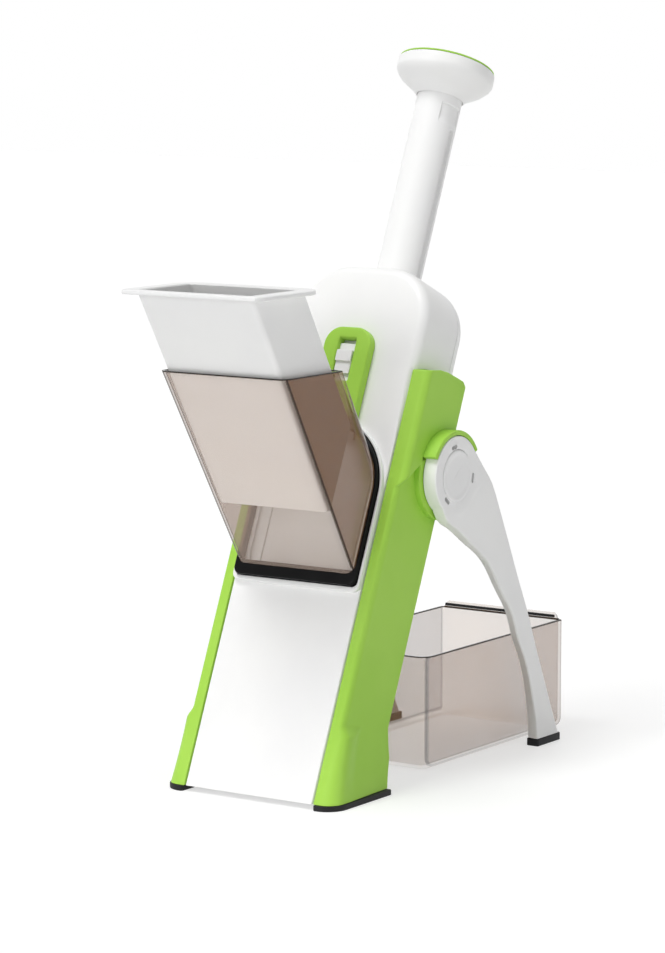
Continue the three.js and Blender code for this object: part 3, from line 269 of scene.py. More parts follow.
def arch_frame(outer, inner, front, back, edge):
    """A frame between two arches, each given by its half width, its foot and its foot's radius."""
    return frame_rings(
        lambda inset: arch(outer[0] - inset, outer[1] + inset, outer[2]),
        lambda inset: arch(inner[0] + inset, inner[1] - inset, inner[2]), front, back, edge)


def block_rings(outline, front, back, edge, place=at_depth):
    """A closed block of outline(inset), with its front and back edges rounded."""
    steps = rounded_steps(edge)
    rings = [place(outline(inset), front + run) for inset, run in steps]
    return rings + [place(outline(inset), back - run) for inset, run in steps[::-1]]


def aim(outline, centre, reach):
    """Points where rays from the centre through an outline's points meet another edge."""
    ray = outline - centre
    ray /= np.linalg.norm(ray, axis=1, keepdims=True)
    return centre + ray * reach(ray)[:, None]


def box_reach(half_sizes, radius):
    """Distance along each ray from the centre to a rectangle with rounded corners."""
    middle = half_sizes - radius

    def reach(ray):
        ray = np.abs(ray) + TINY
        plain = np.min(half_sizes / ray, axis=1)
        dot = ray @ middle
        curved = dot + np.sqrt(np.maximum(dot ** 2 - middle @ middle + radius ** 2, 0.0))
        return np.where(np.all(ray * plain[:, None] > middle, axis=1), curved, plain)
    return reach


def turned(profile, steps=128):
    """Rings of a profile (radius, along) turned about the plunger's axis."""
    return [at_height(corner((0.0, TUBE_DEPTH), r, 0, 360, steps)[:-1], along) for r, along in profile]


def turned_across(profile, centre, side, steps=96):
    """Rings of a profile (across, radius) turned about a line across the housing."""
    return [at_side(corner(centre, r, 0, 360, steps)[:-1], across * side) for across, r in profile]


# %% [markdown]
# ## The front housing
# The front is one white moulding: a flat face with an arched opening, and
# crisp edges low down that open into soft shoulders round the head. The skin
# starts at the opening, runs out over the face and round the edge to the back,
# and returns along the inside.

# %% Front housing
HALF, HEAD_HALF, TALL = 46.0, 46.5, 333.0
NECK = (222.0, 262.0)
SHOULDER, EDGE, LIP, WALL = 32.0, 6.0, 0.5, 2.4
LOW_EDGE_SHARE = 0.25
DEPTH, COVER_FRONT, COVER_BACK = 39.0, 39.3, 52.7
LIFT, FLOOR, LOW_END = 3.5, 6.5, 60.0
FACE_CENTRE = np.array([0.0, 172.0])
OPENING_HALF, OPENING_FOOT = 40.0, 144.0
SEAT_RIM = (45.2, 130.8, 4.5), (43.6, 133.7, 3.4)
TUBE_HOLE, HOLE_ENDS = TUBE_RADIUS + 0.5, (316.0, 345.0)


def housing_outline(inset, rounding, depth, foot=LIFT):
    """Half width eases from body to head along the neck; the foot is level."""
    low = level_at(depth, foot)
    stations = np.concatenate([
        np.linspace(0.0, LOW_END, 10), np.linspace(68.0, 139.8, 9), np.linspace(148.0, NECK[0], 9),
        np.linspace(*NECK, 19)[1:], np.linspace(NECK[1], TALL - SHOULDER, 6)[1:-1]])
    stations = np.where(stations < LOW_END, low + stations / LOW_END * (LOW_END - low), stations)
    share = ease((stations - NECK[0]) / (NECK[1] - NECK[0]))
    across = lerp(HALF, HEAD_HALF, share) - inset - rounding * lerp(LOW_EDGE_SHARE, 1.0, share)
    foot_line = np.linspace((0.0, low), (across[0], low), 12)[:-1]
    shoulder = corner((HEAD_HALF - SHOULDER, TALL - SHOULDER), SHOULDER - inset - rounding, 0, 90, 28)
    top = np.linspace(shoulder[-1], (0.0, shoulder[-1, 1]), 8)[1:]
    return mirrored(np.concatenate([foot_line, np.stack([across, stations], -1), shoulder, top]))


def housing_ring(inset, rounding, depth, foot=LIFT):
    """The housing's outline in its own directions."""
    return at_depth(housing_outline(inset, rounding, depth, foot), depth)


def opening_ring(depth, grow=0.0):
    """The arched opening: rays from the face centre end at its sides, foot or circle."""
    half, rise = OPENING_HALF + grow, ARCH_CENTRE - FACE_CENTRE[1]
    drop = OPENING_FOOT - grow - FACE_CENTRE[1]

    def reach(ray):
        dy = ray[:, 1]
        side = half / (np.abs(ray[:, 0]) + TINY)
        below = np.where(dy < -TINY, drop / np.minimum(dy, -TINY), np.inf)
        circle = dy * rise + np.sqrt(np.maximum((dy * rise) ** 2 - rise ** 2 + half ** 2, 0.0))
        return np.where(side * dy > rise, circle, np.minimum(side, below))
    return at_depth(aim(housing_outline(0.0, EDGE, 0.0), FACE_CENTRE, reach), depth)


def shell_rings(first_rings, flat, back, radius, toward, inner_back):
    """Face, rounded edge, back edge, and the same again one wall inside."""
    outside = rounded_steps(radius, 8)
    inside = rounded_steps(max(radius - WALL, LIP), 6)[::-1]
    rings = first_rings + [housing_ring(0.0, inset, flat + toward * run) for inset, run in outside]
    rings += [housing_ring(0.0, 0.0, back), housing_ring(WALL, 0.0, back, FLOOR)]
    return rings + [housing_ring(WALL, inset, inner_back + toward * run, FLOOR) for inset, run in inside]


lip_steps = rounded_steps(LIP, 3)[::-1]
front_rings = [opening_ring(WALL)] + [opening_ring(run, inset) for inset, run in lip_steps]
front_rings = shell_rings(front_rings, 0.0, DEPTH, EDGE, 1.0, WALL)
seat_rim = arch_frame(*SEAT_RIM, -3.0, 1.6, 0.6)
front = make_piece(
    "housing_front", [skin(leaning(front_rings), True), skin(leaning(seat_rim), True)],
    "housing", "front_housing", "white_plastic")
tube_hole = skin(leaning(turned([(TUBE_HOLE, along) for along in HOLE_ENDS], 96)))
take_away(front, [tube_hole])

# %% [markdown]
# ## The rear cover
# A shallow white lid closes the back: the same outline, softer edges, a slot
# where slices leave, and under it a channel that carries them to the tray.

# %% Rear cover
EXIT_CENTRE, EXIT_SIZE, EXIT_CORNER = np.array([0.0, 145.0]), np.array([27.5, 21.0]), 5.0
RAMP_FROM, RAMP_TO, RAMP_WALL, RAMP_TALL, RAMP_BEND = 30.0, 92.0, 2.2, 10.0, 2.0
RAMP_HALVES, RAMP_HEIGHTS = (32.0, 20.0), (128.0, 120.0)


def exit_ring(depth, grow=0.0):
    """The slot for the slices, seen through the housing's outline."""
    reach = box_reach(EXIT_SIZE + grow, EXIT_CORNER + grow)
    return at_depth(aim(housing_outline(0.0, EDGE, DEPTH), EXIT_CENTRE, reach), depth)


def ramp_section(depth):
    """A channel: floor and two side walls with rounded tops, narrowing toward its end."""
    share = (depth - RAMP_FROM) / (RAMP_TO - RAMP_FROM)
    half, along = lerp(*RAMP_HALVES, share), lerp(*RAMP_HEIGHTS, share)
    wall, bend, tip = RAMP_WALL, RAMP_BEND, RAMP_WALL / 2
    heel = corner((half - bend, along - wall + bend), bend, -90, 0, 6)
    crown = corner((half - tip, along + RAMP_TALL - tip), tip, 0, 180, 8)
    fillet = corner((half - wall - bend, along + bend), bend, 0, -90, 6)
    right = np.concatenate([[[0.0, along - wall]], heel, crown, fillet, [[0.0, along]]])
    return at_depth(mirrored(right), depth)


cover_rings = [exit_ring(COVER_BACK - WALL)]
cover_rings += [exit_ring(COVER_BACK - run, inset) for inset, run in lip_steps]
cover_rings = shell_rings(
    cover_rings, COVER_BACK, COVER_FRONT, COVER_BACK - COVER_FRONT, -1.0, COVER_BACK - WALL)
ramp_rings = [ramp_section(depth) for depth in np.linspace(40.0, RAMP_TO, 8)]
cover = make_piece(
    "housing_back", [skin(leaning(cover_rings), True), skin(leaning(ramp_rings))],
    "housing", "rear_cover", "white_plastic")
take_away(cover, [tube_hole])

# %% [markdown]
# ## The gasket, the latch and its bezel
# A black rubber seal rings the opening, thick at its foot. Above it an
# arch-topped green bezel frames the white catch that holds the chute.

# %% Gasket, bezel and latch
SEAL_RIM = (43.3, 134.0, 4.0), (40.6, 143.0, 2.0)
BEZEL_CENTRE = np.array([0.0, 266.0])
# The bezel: radius of its hollow foot, half width, top, corner radius.
BEZEL_SIZES = np.array([45.7, 16.4, 291.6, 11.0])
WINDOW_HALF, WINDOW_UP, WINDOW_DOWN = 6.0, 18.5, 8.0
CATCH_BACK = -0.6
# The catch's blocks: half width, foot, top, corner radius, front depth, edge radius.
CATCH_BLOCKS = [(9.0, 262.0, 281.9, 1.0, -3.4, 0.3), (5.0, 245.0, 263.0, 0.8, -3.4, 0.3),
                (5.5, 262.5, 277.0, 0.8, -5.4, 0.5), (5.5, 269.8, 277.0, 0.8, -7.0, 0.6)]


def bezel_outline(inset):
    """Straight sides and soft top corners over a hollow foot that follows the seal."""
    circle, half, top, radius = BEZEL_SIZES + inset * np.array([1.0, -1.0, -1.0, -1.0])
    reach = math.degrees(math.acos(half / circle))
    foot = corner((0.0, ARCH_CENTRE), circle, 180.0 - reach, reach, 24)
    side = np.linspace(foot[-1], (half, top - radius), 12)[1:-1]
    right = corner((half - radius, top - radius), radius, 0, 90, 14)
    left = corner((radius - half, top - radius), radius, 90, 180, 14)
    return np.concatenate([foot, side, right, left, side[::-1] * (-1.0, 1.0)])


def window_outline(inset):
    """The window of the bezel, seen through the bezel's outline."""
    def reach(ray):
        size = np.where(ray[:, 1] > 0.0, WINDOW_UP, WINDOW_DOWN) + inset
        wide, tall = (np.abs(ray) + TINY).T
        return np.minimum((WINDOW_HALF + inset) / wide, size / tall)
    return aim(bezel_outline(0.0), BEZEL_CENTRE, reach)


def catch_block(half, low, top, radius, front, edge):
    """One small rounded block of the catch."""
    outline = inset_box(-half, half, low, top, [radius] * 4, 5)
    return skin(leaning(block_rings(outline, front, CATCH_BACK, edge)))


gasket_rings = arch_frame(*SEAL_RIM, -6.0, -0.4, 0.9)
make_piece("chute_seal", [skin(leaning(gasket_rings), True)], "chute", "chute_gasket", "black_rubber")
bezel_rings = frame_rings(bezel_outline, window_outline, -6.4, -0.3, 1.3)
make_piece("catch_bezel", [skin(leaning(bezel_rings), True)], "housing", "latch_bezel", "green_plastic")
make_piece("chute_catch", [catch_block(*block) for block in CATCH_BLOCKS],
           "latch", "chute_latch", "white_plastic")

# %% [markdown]
# ## The green side panels
# Each panel is a long box with a soft front corner. Its outer face is one
# formula of depth and height: full width near the leg's hub, a long shallow
# recess below a slanting crease, a small ledge near the foot, and a flare that
# meets the rubber. Smooth steps blend its creases.

# %% Side panels
PANEL_INNER, PANEL_HALF, PANEL_TALL, PANEL_RISE = 46.3, 58.0, 270.0, 5.5
PANEL_REAR, PANEL_LOW_REAR = 43.7, 48.7
PANEL_MIDDLE, FRONT_CORNERS = (52.2, 21.0), (4.5, 10.0)
REAR_EDGE, INNER_EDGE, TOP_EDGE = 1.2, 0.6, 1.3
HEEL_HEIGHTS, HEEL_DEPTHS = [21.0, 24.23, 45.84, 62.0], [57.4, 55.98, 55.57, PANEL_LOW_REAR]
FLARE, FLARE_TOP = 3.2, 50.0
# Two slanting lines on the outer face: height in front, rise per run, run, number of runs.
CREASE, LEDGE = (198.0, 25.0, 22.0, 1.0), (50.0, 5.5, 23.0, 2.0)
RECESS, CREASE_SOFT, LEDGE_DROP, LEDGE_SOFT = 3.7, 4.2, 6.0, 8.0
SWEEP, SWEEP_TOP, SWEEP_RUN = 6.5, 55.5, 48.5
SWEPT_BELOW, SWEPT_FROM, SWEPT_SOFT = 66.0, 7.0, 14.0
HUB_DEPTH, HUB_ALONG = 41.0, 217.3
LUG_RADIUS, LUG_EDGE, COLLAR_WALL, COLLAR_OUTER = 27.4, 0.8, 3.0, 67.1
FOOT_INNER, FOOT_OUTER, FOOT_LONG, FOOT_TALL = 46.6, 61.9, 62.0, 3.2
FOOT_CORNERS = [13.0, 2.0, 2.0, 2.0]


def heel_depth(along):
    """Depth of the panel's rear edge: less above the hub than below it, then out to a heel."""
    rear = lerp(PANEL_LOW_REAR, PANEL_REAR, ease((along - HUB_ALONG + 8.0) / 16.0))
    return np.where(along < HEEL_HEIGHTS[-1], np.interp(along, HEEL_HEIGHTS, HEEL_DEPTHS), rear)


def panel_top(share):
    """Height of the panel's top edge: it rises over the front and falls at the rear corner."""
    rise = np.interp(share, [0.0, 0.275, 0.5, 0.915, 1.0], [0.0, 0.73, 1.0, 1.0, 0.6])
    return PANEL_TALL + PANEL_RISE * rise


def low_share(along):
    """1 at the table, and 0 from the height where the foot's flare starts."""
    return np.clip(1.0 - along / FLARE_TOP, 0.0, 1.0)


def slanting(depth, height, rise, run, most):
    """Height of a line on the outer face that rises toward the back."""
    return height + rise * np.clip(depth / run, 0.0, most)


def panel_relief(depth, along):
    """How far the outer face lies inside full width: recess, ledge, crease and foot flare."""
    below = ease((slanting(depth, *CREASE) + CREASE_SOFT / 2 - along) / CREASE_SOFT)
    above = ease((along - slanting(depth, *LEDGE) + LEDGE_DROP) / LEDGE_SOFT)
    drop = np.clip((SWEEP_TOP - along) / SWEEP_RUN, 0.0, 1.0)
    swept = np.maximum(RECESS + FLARE * low_share(along) ** 2 - SWEEP * drop ** 2, 0.0)
    low = np.where(along < SWEPT_BELOW, swept * ease((depth - SWEPT_FROM) / SWEPT_SOFT), 0.0)
    return np.maximum(below * above * RECESS, low)


def panel_ring(share, side):
    """One station of the panel: front strip, soft corner, side face, rear edge, back inside."""
    low = low_share(lerp(level_at(0.0, LIFT), PANEL_TALL, share))
    radius, half = lerp(*FRONT_CORNERS, low), PANEL_HALF + FLARE * low ** 2
    rear = PANEL_LOW_REAR
    # The rear edge's depth hangs on its height, and the height on the depth: they settle in turns.
    for _ in range(12):
        rear = float(heel_depth(lerp(level_at(rear, LIFT), PANEL_TALL, share)))
    start, inner_stop = PANEL_INNER + INNER_EDGE, (PANEL_INNER, INNER_EDGE)
    ring = np.concatenate([
        corner((start, INNER_EDGE), INNER_EDGE, 180, 270, 4)[:-1],
        np.linspace((start, 0.0), (half - radius, 0.0), 6)[:-1],
        corner((half - radius, radius), radius, -90, 0, 14),
        np.linspace((half, radius), (half, rear - REAR_EDGE), 46)[1:],
        corner((half - REAR_EDGE, rear - REAR_EDGE), REAR_EDGE, 0, 90, 5)[1:],
        np.linspace((half - REAR_EDGE, rear), (PANEL_INNER, rear), 6)[1:],
        np.linspace((PANEL_INNER, rear), inner_stop, 14)[1:-1]])
    across, depth = ring.T
    along = lerp(level_at(depth, LIFT), panel_top(np.clip(depth / PANEL_REAR, 0.0, 1.0)), share)
    weight = np.clip((across - PANEL_INNER - 2.0) / (half - PANEL_INNER - 2.0), 0.0, 1.0)
    return np.stack([(across - panel_relief(depth, along) * weight) * side, depth, along], -1)


def panel_rings(side):
    """All stations, with the top edge rounded by shrinking the last rings toward the middle."""
    shares = np.concatenate([
        np.linspace(0.0, 0.26, 60), np.linspace(0.26, 0.66, 40)[1:], np.linspace(0.66, 0.995, 90)[1:]])
    rings = [panel_ring(share, side) for share in shares]
    last, middle = panel_ring(1.0, side), np.array(PANEL_MIDDLE) * (side, 1.0)
    for inset, run in rounded_steps(TOP_EDGE)[::-1]:
        ring = last.copy()
        toward = middle - ring[:, :2]
        ring[:, :2] += toward / np.linalg.norm(toward, axis=1, keepdims=True) * inset
        ring[:, 2] -= run
        rings.append(ring)
    return rings


def lug_rings(side):
    """The round lug behind the leg's disc, with its outer edge rounded."""
    profile = [(PANEL_INNER + 0.4, LUG_RADIUS)]
    profile += [(PANEL_HALF - run, LUG_RADIUS - inset) for inset, run in rounded_steps(LUG_EDGE)[::-1]]
    return turned_across(profile, (HUB_DEPTH, HUB_ALONG), side)


def collar_rings(side):
    """The raised collar round the top of the leg's disc, swept over an arc."""
    radius, across = round_box(LUG_RADIUS - COLLAR_WALL, LUG_RADIUS, PANEL_HALF - 1.5, COLLAR_OUTER,
                               [0.6, 1.0, 0.6, 0.2], 5).T
    turn = np.radians(np.linspace(30.0, 150.0, 64)) + LEAN
    return [np.stack([across * side, HUB_DEPTH + radius * math.cos(t),
                      HUB_ALONG + radius * math.sin(t)], -1) for t in turn]


def foot_rings(side):
    """The rubber foot under a panel: a large radius at its front outer corner."""
    left, right = sorted((FOOT_INNER * side, FOOT_OUTER * side))
    outline = inset_box(left, right, 0.0, FOOT_LONG, FOOT_CORNERS[::int(side)], 12)
    return block_rings(outline, 0.0, FOOT_TALL, 0.4, at_height)


for side, word in SIDES:
    shells = [skin(leaning(rings(side))) for rings in (panel_rings, lug_rings, collar_rings)]
    make_piece(f"{word}_green_panel", shells, "housing", f"{word}_side_panel", "green_plastic")
for side, word in SIDES:
    make_piece(f"{word}_rubber_foot", [skin(upright(foot_rings(side)))],
               "housing", f"{word}_base_foot", "black_rubber")

# %% [markdown]
# ## The folding legs
# A leg starts as a disc on the hub and swings down and back as a tapering arm.
# Its two edges are smooth curves through measured points. A closed section
# runs between them at every station: a flat outer face, soft edges, and a
# bevel toward the front that widens half way down.

# %% Legs
HUB_HEIGHT = HUB_ALONG * COS - HUB_DEPTH * SIN
HUB_Y = HUB_DEPTH * COS + HUB_ALONG * SIN
LEG_REACH, LEG_INNER, LEG_OUTER, DISC = 130.1, 58.3, 67.4, 24.0
LEG_BACK, LEG_THICK, LEG_FOOT, BEVEL = LEG_INNER + 0.6, 8.3, 5.0, 4.0
FACE_TAPER, BACK_TAPER = 3.9, 3.5
PIN_HOLE, WELL_RADIUS, BUTTON_RADIUS, BUTTON_PROUD = 5.3, 15.9, 15.6, 0.5
SLOT_ANGLES, SLOT_ENDS = (100.0, -10.0, -130.0), (LEG_OUTER - 7.0, LEG_OUTER + 1.0)
PAD_TALL, PAD_PROUD_Y, PAD_PROUD_X = 4.7, 0.3, 0.2
# Points of the two edges from the hub to the foot, as shares of reach and of hub height.
REAR_SHARES = [
    (0.135, 0.089), (0.176, 0.058), (0.232, 0.0147), (0.297, -0.035), (0.389, -0.15), (0.483, -0.277),
    (0.563, -0.386), (0.654, -0.505), (0.754, -0.653), (0.862, -0.805), (0.965, -0.95), (1.0, -1.0)]
FRONT_SHARES = [
    (-0.14, -0.075), (-0.0815, -0.142), (0.0215, -0.184), (0.124, -0.233), (0.282, -0.311),
    (0.409, -0.42), (0.52, -0.513), (0.587, -0.608), (0.656, -0.685), (0.709, -0.77),
    (0.747, -0.854), (0.773, -0.916), (0.782, -0.966), (0.791, -1.0)]
BEVEL_SHARES = [0.0, 0.0, 0.1, 0.3, 0.6, 0.9, 1.0, 1.0, 1.0, 1.0, 1.0, 0.8, 0.5, 0.3]


def smooth_path(points, count):
    """A curve through points, even in arc length: chord-length steps, then cubic blends."""
    points = np.asarray(points, float)
    knots = np.concatenate([[0.0], np.cumsum(np.linalg.norm(np.diff(points, axis=0), axis=1))])
    slopes = np.gradient(points, knots, axis=0)
    t = np.linspace(0.0, knots[-1], count)
    k = np.clip(np.searchsorted(knots, t, "right") - 1, 0, len(knots) - 2)
    width = (knots[k + 1] - knots[k])[:, None]
    s = (t - knots[k])[:, None] / width
    from_start = points[k] * (1 + 2 * s) * (1 - s) ** 2 + slopes[k] * width * s * (1 - s) ** 2
    from_end = points[k + 1] * s * s * (3 - 2 * s) + slopes[k + 1] * width * s * s * (s - 1)
    return from_start + from_end


def leg_arm(side):
    """Sections between the two curves, each a rounded box with a beveled front edge."""
    stations = np.linspace(0.0, 1.0, 90)
    rear, front = (smooth_path(np.array(shares) * (LEG_REACH, HUB_HEIGHT), len(stations))
                   for shares in (REAR_SHARES, FRONT_SHARES))
    bevel = BEVEL * np.interp(stations, np.linspace(0.0, 1.0, len(BEVEL_SHARES)), BEVEL_SHARES)
    rings = []
    for r, f, cut in zip(rear, front, bevel):
        width = np.linalg.norm(f - r)
        section = np.array([
            (0.0, 1.2), (0.15, 0.5), (0.5, 0.15), (1.2, 0.0),
            (width - 1.2, 0.0), (width - 0.5, 0.15), (width - 0.15, 0.5), (width, 1.2),
            (width - cut * 0.85, 7.4), (width - cut - 0.4, 7.95), (width - cut - 1.2, 8.2),
            (width * 0.5, LEG_THICK), (1.2, 8.2), (0.5, 7.95), (0.15, 7.6), (0.0, 7.0)])
        plane = r + (f - r) / width * section[:, :1]
        drop = np.clip((-plane[:, 1] - DISC) / (HUB_HEIGHT - DISC), 0.0, 1.0)
        face, back = LEG_OUTER - FACE_TAPER * drop, LEG_BACK - BACK_TAPER * drop
        across = lerp(face, back, section[:, 1] / LEG_THICK)
        height = np.maximum(plane[:, 1], LEG_FOOT - HUB_HEIGHT)
        rings.append(np.stack([across * side, HUB_Y + plane[:, 0], HUB_HEIGHT + height], -1))
    return rings


def leg_disc(side):
    """The disc of the leg by its profile (across, radius): outer rim, button well, pin bore."""
    low, high, well, floor = LEG_INNER, LEG_OUTER, WELL_RADIUS, LEG_INNER + 1.7
    profile = [(low, PIN_HOLE), (low, DISC - 0.5), (low + 0.5, DISC)]
    profile += [(high - run, DISC - inset) for inset, run in rounded_steps(0.9)[::-1]]
    profile += [(high, well + 0.5), (high - 0.15, well + 0.15), (high - 0.5, well),
                (floor, well), (floor, PIN_HOLE)]
    return turned_across(profile, (HUB_Y, HUB_HEIGHT), side, 128)


def slot_bars(side):
    """Three short bars that cut the dark slots round the button."""
    wide, out = round_box(-3.0, 3.0, 16.5, 19.0, [1.0] * 4, 4).T
    bars = []
    for turn in np.radians(SLOT_ANGLES):
        c, s = math.cos(turn), math.sin(turn)
        ring = np.stack([HUB_Y + out * c - wide * s, HUB_HEIGHT + out * s + wide * c], -1)
        bars.append(skin(upright([at_side(ring, end * side) for end in SLOT_ENDS])))
    return bars


def button_rings(side):
    """The push button: a shallow dish with a rounded rim, hollow behind."""
    outer, radius = LEG_OUTER + BUTTON_PROUD, BUTTON_RADIUS
    profile = [(outer - 4.7, 13.6), (outer - 4.7, radius)]
    profile += [(outer - run, radius - inset) for inset, run in rounded_steps(1.0)[::-1]]
    profile += [(outer - 0.05, 13.2), (outer - 0.35, 12.6), (outer - 0.5, 11.0), (outer - 0.7, NEAR_AXIS),
                (outer - 2.8, NEAR_AXIS), (outer - 2.8, 13.6)]
    return turned_across(profile, (HUB_Y, HUB_HEIGHT), side)


def pad_rings(side):
    """The rubber pad under a leg, cut level above and below."""
    left, right = sorted((side * (LEG_OUTER - FACE_TAPER + PAD_PROUD_X),
                          side * (LEG_BACK - BACK_TAPER - PAD_PROUD_X)))
    near, far = HUB_Y + FRONT_SHARES[-1][0] * LEG_REACH, HUB_Y + LEG_REACH
    outline = inset_box(left, right, near - PAD_PROUD_Y, far + PAD_PROUD_Y, [1.2] * 4, 6)
    return block_rings(outline, 0.0, PAD_TALL, 0.4, at_height)


for side, word in SIDES:
    leg = make_piece(
        f"{word}_folding_leg", [skin(upright(leg_arm(side))), skin(upright(leg_disc(side)), True)],
        f"{word}_leg", f"{word}_leg", "white_plastic")
    take_away(leg, slot_bars(side))
    make_piece(f"{word}_hub_button", [skin(upright(button_rings(side)), True)],
               f"{word}_button", f"{word}_leg_button", "white_plastic")
    make_piece(f"{word}_rubber_pad", [skin(upright(pad_rings(side)))],
               f"{word}_leg", f"{word}_leg_pad", "black_rubber")

# %% [markdown]
# ## The plunger
# The tube is a cylinder whose radius is a formula of angle and height: a
# narrow guide groove runs up each side and ends below a shallow notch under
# the knob. The knob and its green cap are profiles turned about the same axis.

# %% Plunger tube, knob and cap
TUBE_LOW, TUBE_TOP, BORE_RADIUS = 294.3, 466.0, 11.0
GROOVE_HALF, GROOVE_DEEP, GROOVE_TOP = 2.6, 2.3, 433.5
NOTCH_FRONT, NOTCH_BACK, NOTCH_DEEP = -10.6, 4.6, 1.0
NOTCH_LOW, NOTCH_TOP = 434.0, 448.0
KNOB_RADIUS, KNOB_TOP, CAP_RADIUS = 30.3, 474.0, 29.6
KNOB_NECK = [(10.7, 466.3), (14.4, 466.3), (14.4, 453.4), (14.7, 453.0)]
KNOB_BOWL = [(15.0, 453.0), (16.7, 455.1), (19.3, 457.2), (22.9, 459.5),
             (26.4, 462.2), (29.0, 465.0), (30.1, 467.0)]
KNOB_INSIDE = [(29.75, 473.95), (NEAR_AXIS, 473.95), (NEAR_AXIS, 455.0), (10.2, 455.0), (10.7, 455.5)]
CAP_EDGE = [(NEAR_AXIS, 474.3), (29.3, 474.3), (CAP_RADIUS, 474.6), (CAP_RADIUS, 475.1)]


def tube_rings():
    """Outside from the collar to the knob, with grooves and notches, then back down the bore."""
    right = np.concatenate([
        np.linspace(-90, -60, 12)[1:], np.linspace(-60, 20, 121)[1:], np.linspace(20, 90, 20)[1:]])
    angle = np.radians(np.concatenate([right, 180.0 - right[:-1][::-1], [-90.0]]))
    across, depth = np.cos(angle), np.sin(angle)
    off = depth * TUBE_RADIUS
    narrow = ease((GROOVE_HALF - np.abs(off)) / 0.6)
    wide = ease((NOTCH_BACK - off) / 0.6) * ease((off - NOTCH_FRONT) / 0.6)

    def ring(radius, along):
        return at_height(np.stack([radius * across, TUBE_DEPTH + radius * depth], -1), along)
    rings = []
    for along in np.concatenate([[TUBE_LOW, 296.0], np.linspace(300.0, 425.0, 40),
                                 np.linspace(425.5, 450.0, 70), [452.0, 458.0, 465.4, TUBE_TOP]]):
        groove = GROOVE_DEEP * narrow * ease((GROOVE_TOP - along) / 0.8)
        notch = NOTCH_DEEP * wide * ease((NOTCH_TOP - along) / 0.7) * ease((along - NOTCH_LOW) / 5.0)
        rings.append(ring(TUBE_RADIUS - np.maximum(groove, notch), along))
    return rings + [ring(BORE_RADIUS, along) for along in (TUBE_TOP, 380.0, TUBE_LOW)]


knob_profile = KNOB_NECK + list(smooth_path(KNOB_BOWL, 18)) + [(KNOB_RADIUS, 467.9), (KNOB_RADIUS, 468.6)]
knob_profile += [(KNOB_RADIUS - inset, KNOB_TOP - run) for inset, run in rounded_steps(1.0)[::-1]]
dome = np.linspace(0.985, 0.0007, 16)
cap_profile = CAP_EDGE + [(CAP_RADIUS * share, 475.3 + 1.7 * (1.0 - share * share)) for share in dome]
for name, rings, node, slot in (
        ("plunger_shaft", tube_rings(), "plunger_tube", "white_plastic"),
        ("push_knob", turned(knob_profile + KNOB_INSIDE), "handle_knob", "white_plastic"),
        ("green_cap", turned(cap_profile), "knob_cap", "green_plastic")):
    make_piece(name, [skin(leaning(rings), True)], "plunger", node, slot)

# %% [markdown]
# ## The clear chute and its pusher
# Straight lines run from the chute's level rim to an arch on the housing. The
# pusher is a white cup of nearly the same section that slides down inside. Its
# end is cut parallel to the housing.

# %% Chute and pusher
RIM_HEIGHT, RIM_REACH, RIM_HALF, RIM_DEEP, RIM_BACK = 253.0, 24.0, 44.8, 49.5, 10.0
BASE_PROUD, BASE_LOW, BASE_HALF, BASE_DEEP = 6.3, 140.5, 42.0, 50.5
BASE_BACK = ARCH_CENTRE + BASE_HALF - BASE_LOW - BASE_DEEP
CHUTE_CORNER, CHUTE_WALL, CHUTE_EDGE = 6.0, 1.8, 0.25
RIM_POWER, BASE_POWER, CUP_POWER = 20.0, 2.0, 6.0
RIM_FRONT = np.array([-RIM_REACH, RIM_HEIGHT])
BASE_FRONT = np.array([BASE_LOW * SIN - BASE_PROUD * COS, BASE_LOW * COS + BASE_PROUD * SIN])
CHUTE_SLOPE = (BASE_FRONT - RIM_FRONT)[0] / (RIM_FRONT - BASE_FRONT)[1]
CUP_LOW, CUP_TOP, CUP_STOP = 150.0, 299.3, -41.0
CUP_HALVES, CUP_RUN = (42.0, 43.4), 152.0
CUP_GAP, CUP_WALL, FLANGE_TALL, FLANGE_EDGE = 2.6, 2.0, 2.7, 0.9
FLANGE_HALF, FLANGE_FRONT, FLANGE_BACK, FLANGE_CORNER = 49.6, 12.5, 6.5, 16.0


def chute_section(half, side, back, power, inset):
    """Flat front with rounded corners, straight sides, and a superellipse for a back edge."""
    radius = CHUTE_CORNER - inset
    front = corner((half - radius, inset + radius), radius, -90, 0, 10)
    angle = np.linspace(0.0, np.pi / 2, 41)
    size = (np.cos(angle) ** power + np.sin(angle) ** power) ** (-1.0 / power)
    curve = np.stack([half * size * np.cos(angle), side + back * size * np.sin(angle)], -1)
    curve[-1, 0] = 0.0
    straight = np.linspace(front[-1], curve[0], 12)[1:-1]
    return mirrored(np.concatenate([front, straight, curve]), 0)


def chute_ring(inset, share):
    """A ring on the straight lines between the rim and the base."""
    rim = chute_section(RIM_HALF - inset, RIM_DEEP, RIM_BACK - inset, RIM_POWER, inset)
    across, along = chute_section(
        BASE_HALF - inset, BASE_DEEP, BASE_BACK - inset, BASE_POWER, inset).T
    base = np.stack([across, BASE_FRONT[0] + along * SIN, BASE_FRONT[1] + along * COS], -1)
    return lerp(at_height(rim + (0.0, RIM_FRONT[0]), RIM_HEIGHT), base, share)


def cup_ring(inset, height):
    """A section like the rim's, slid along the chute's slope and a little wider higher up."""
    shift = (RIM_HEIGHT - height) * CHUTE_SLOPE - RIM_REACH
    half = lerp(*CUP_HALVES, (height - CUP_LOW) / CUP_RUN)
    section = chute_section(half - inset, RIM_DEEP, RIM_BACK - inset, CUP_POWER, inset)
    return at_height(section + (0.0, shift), height)


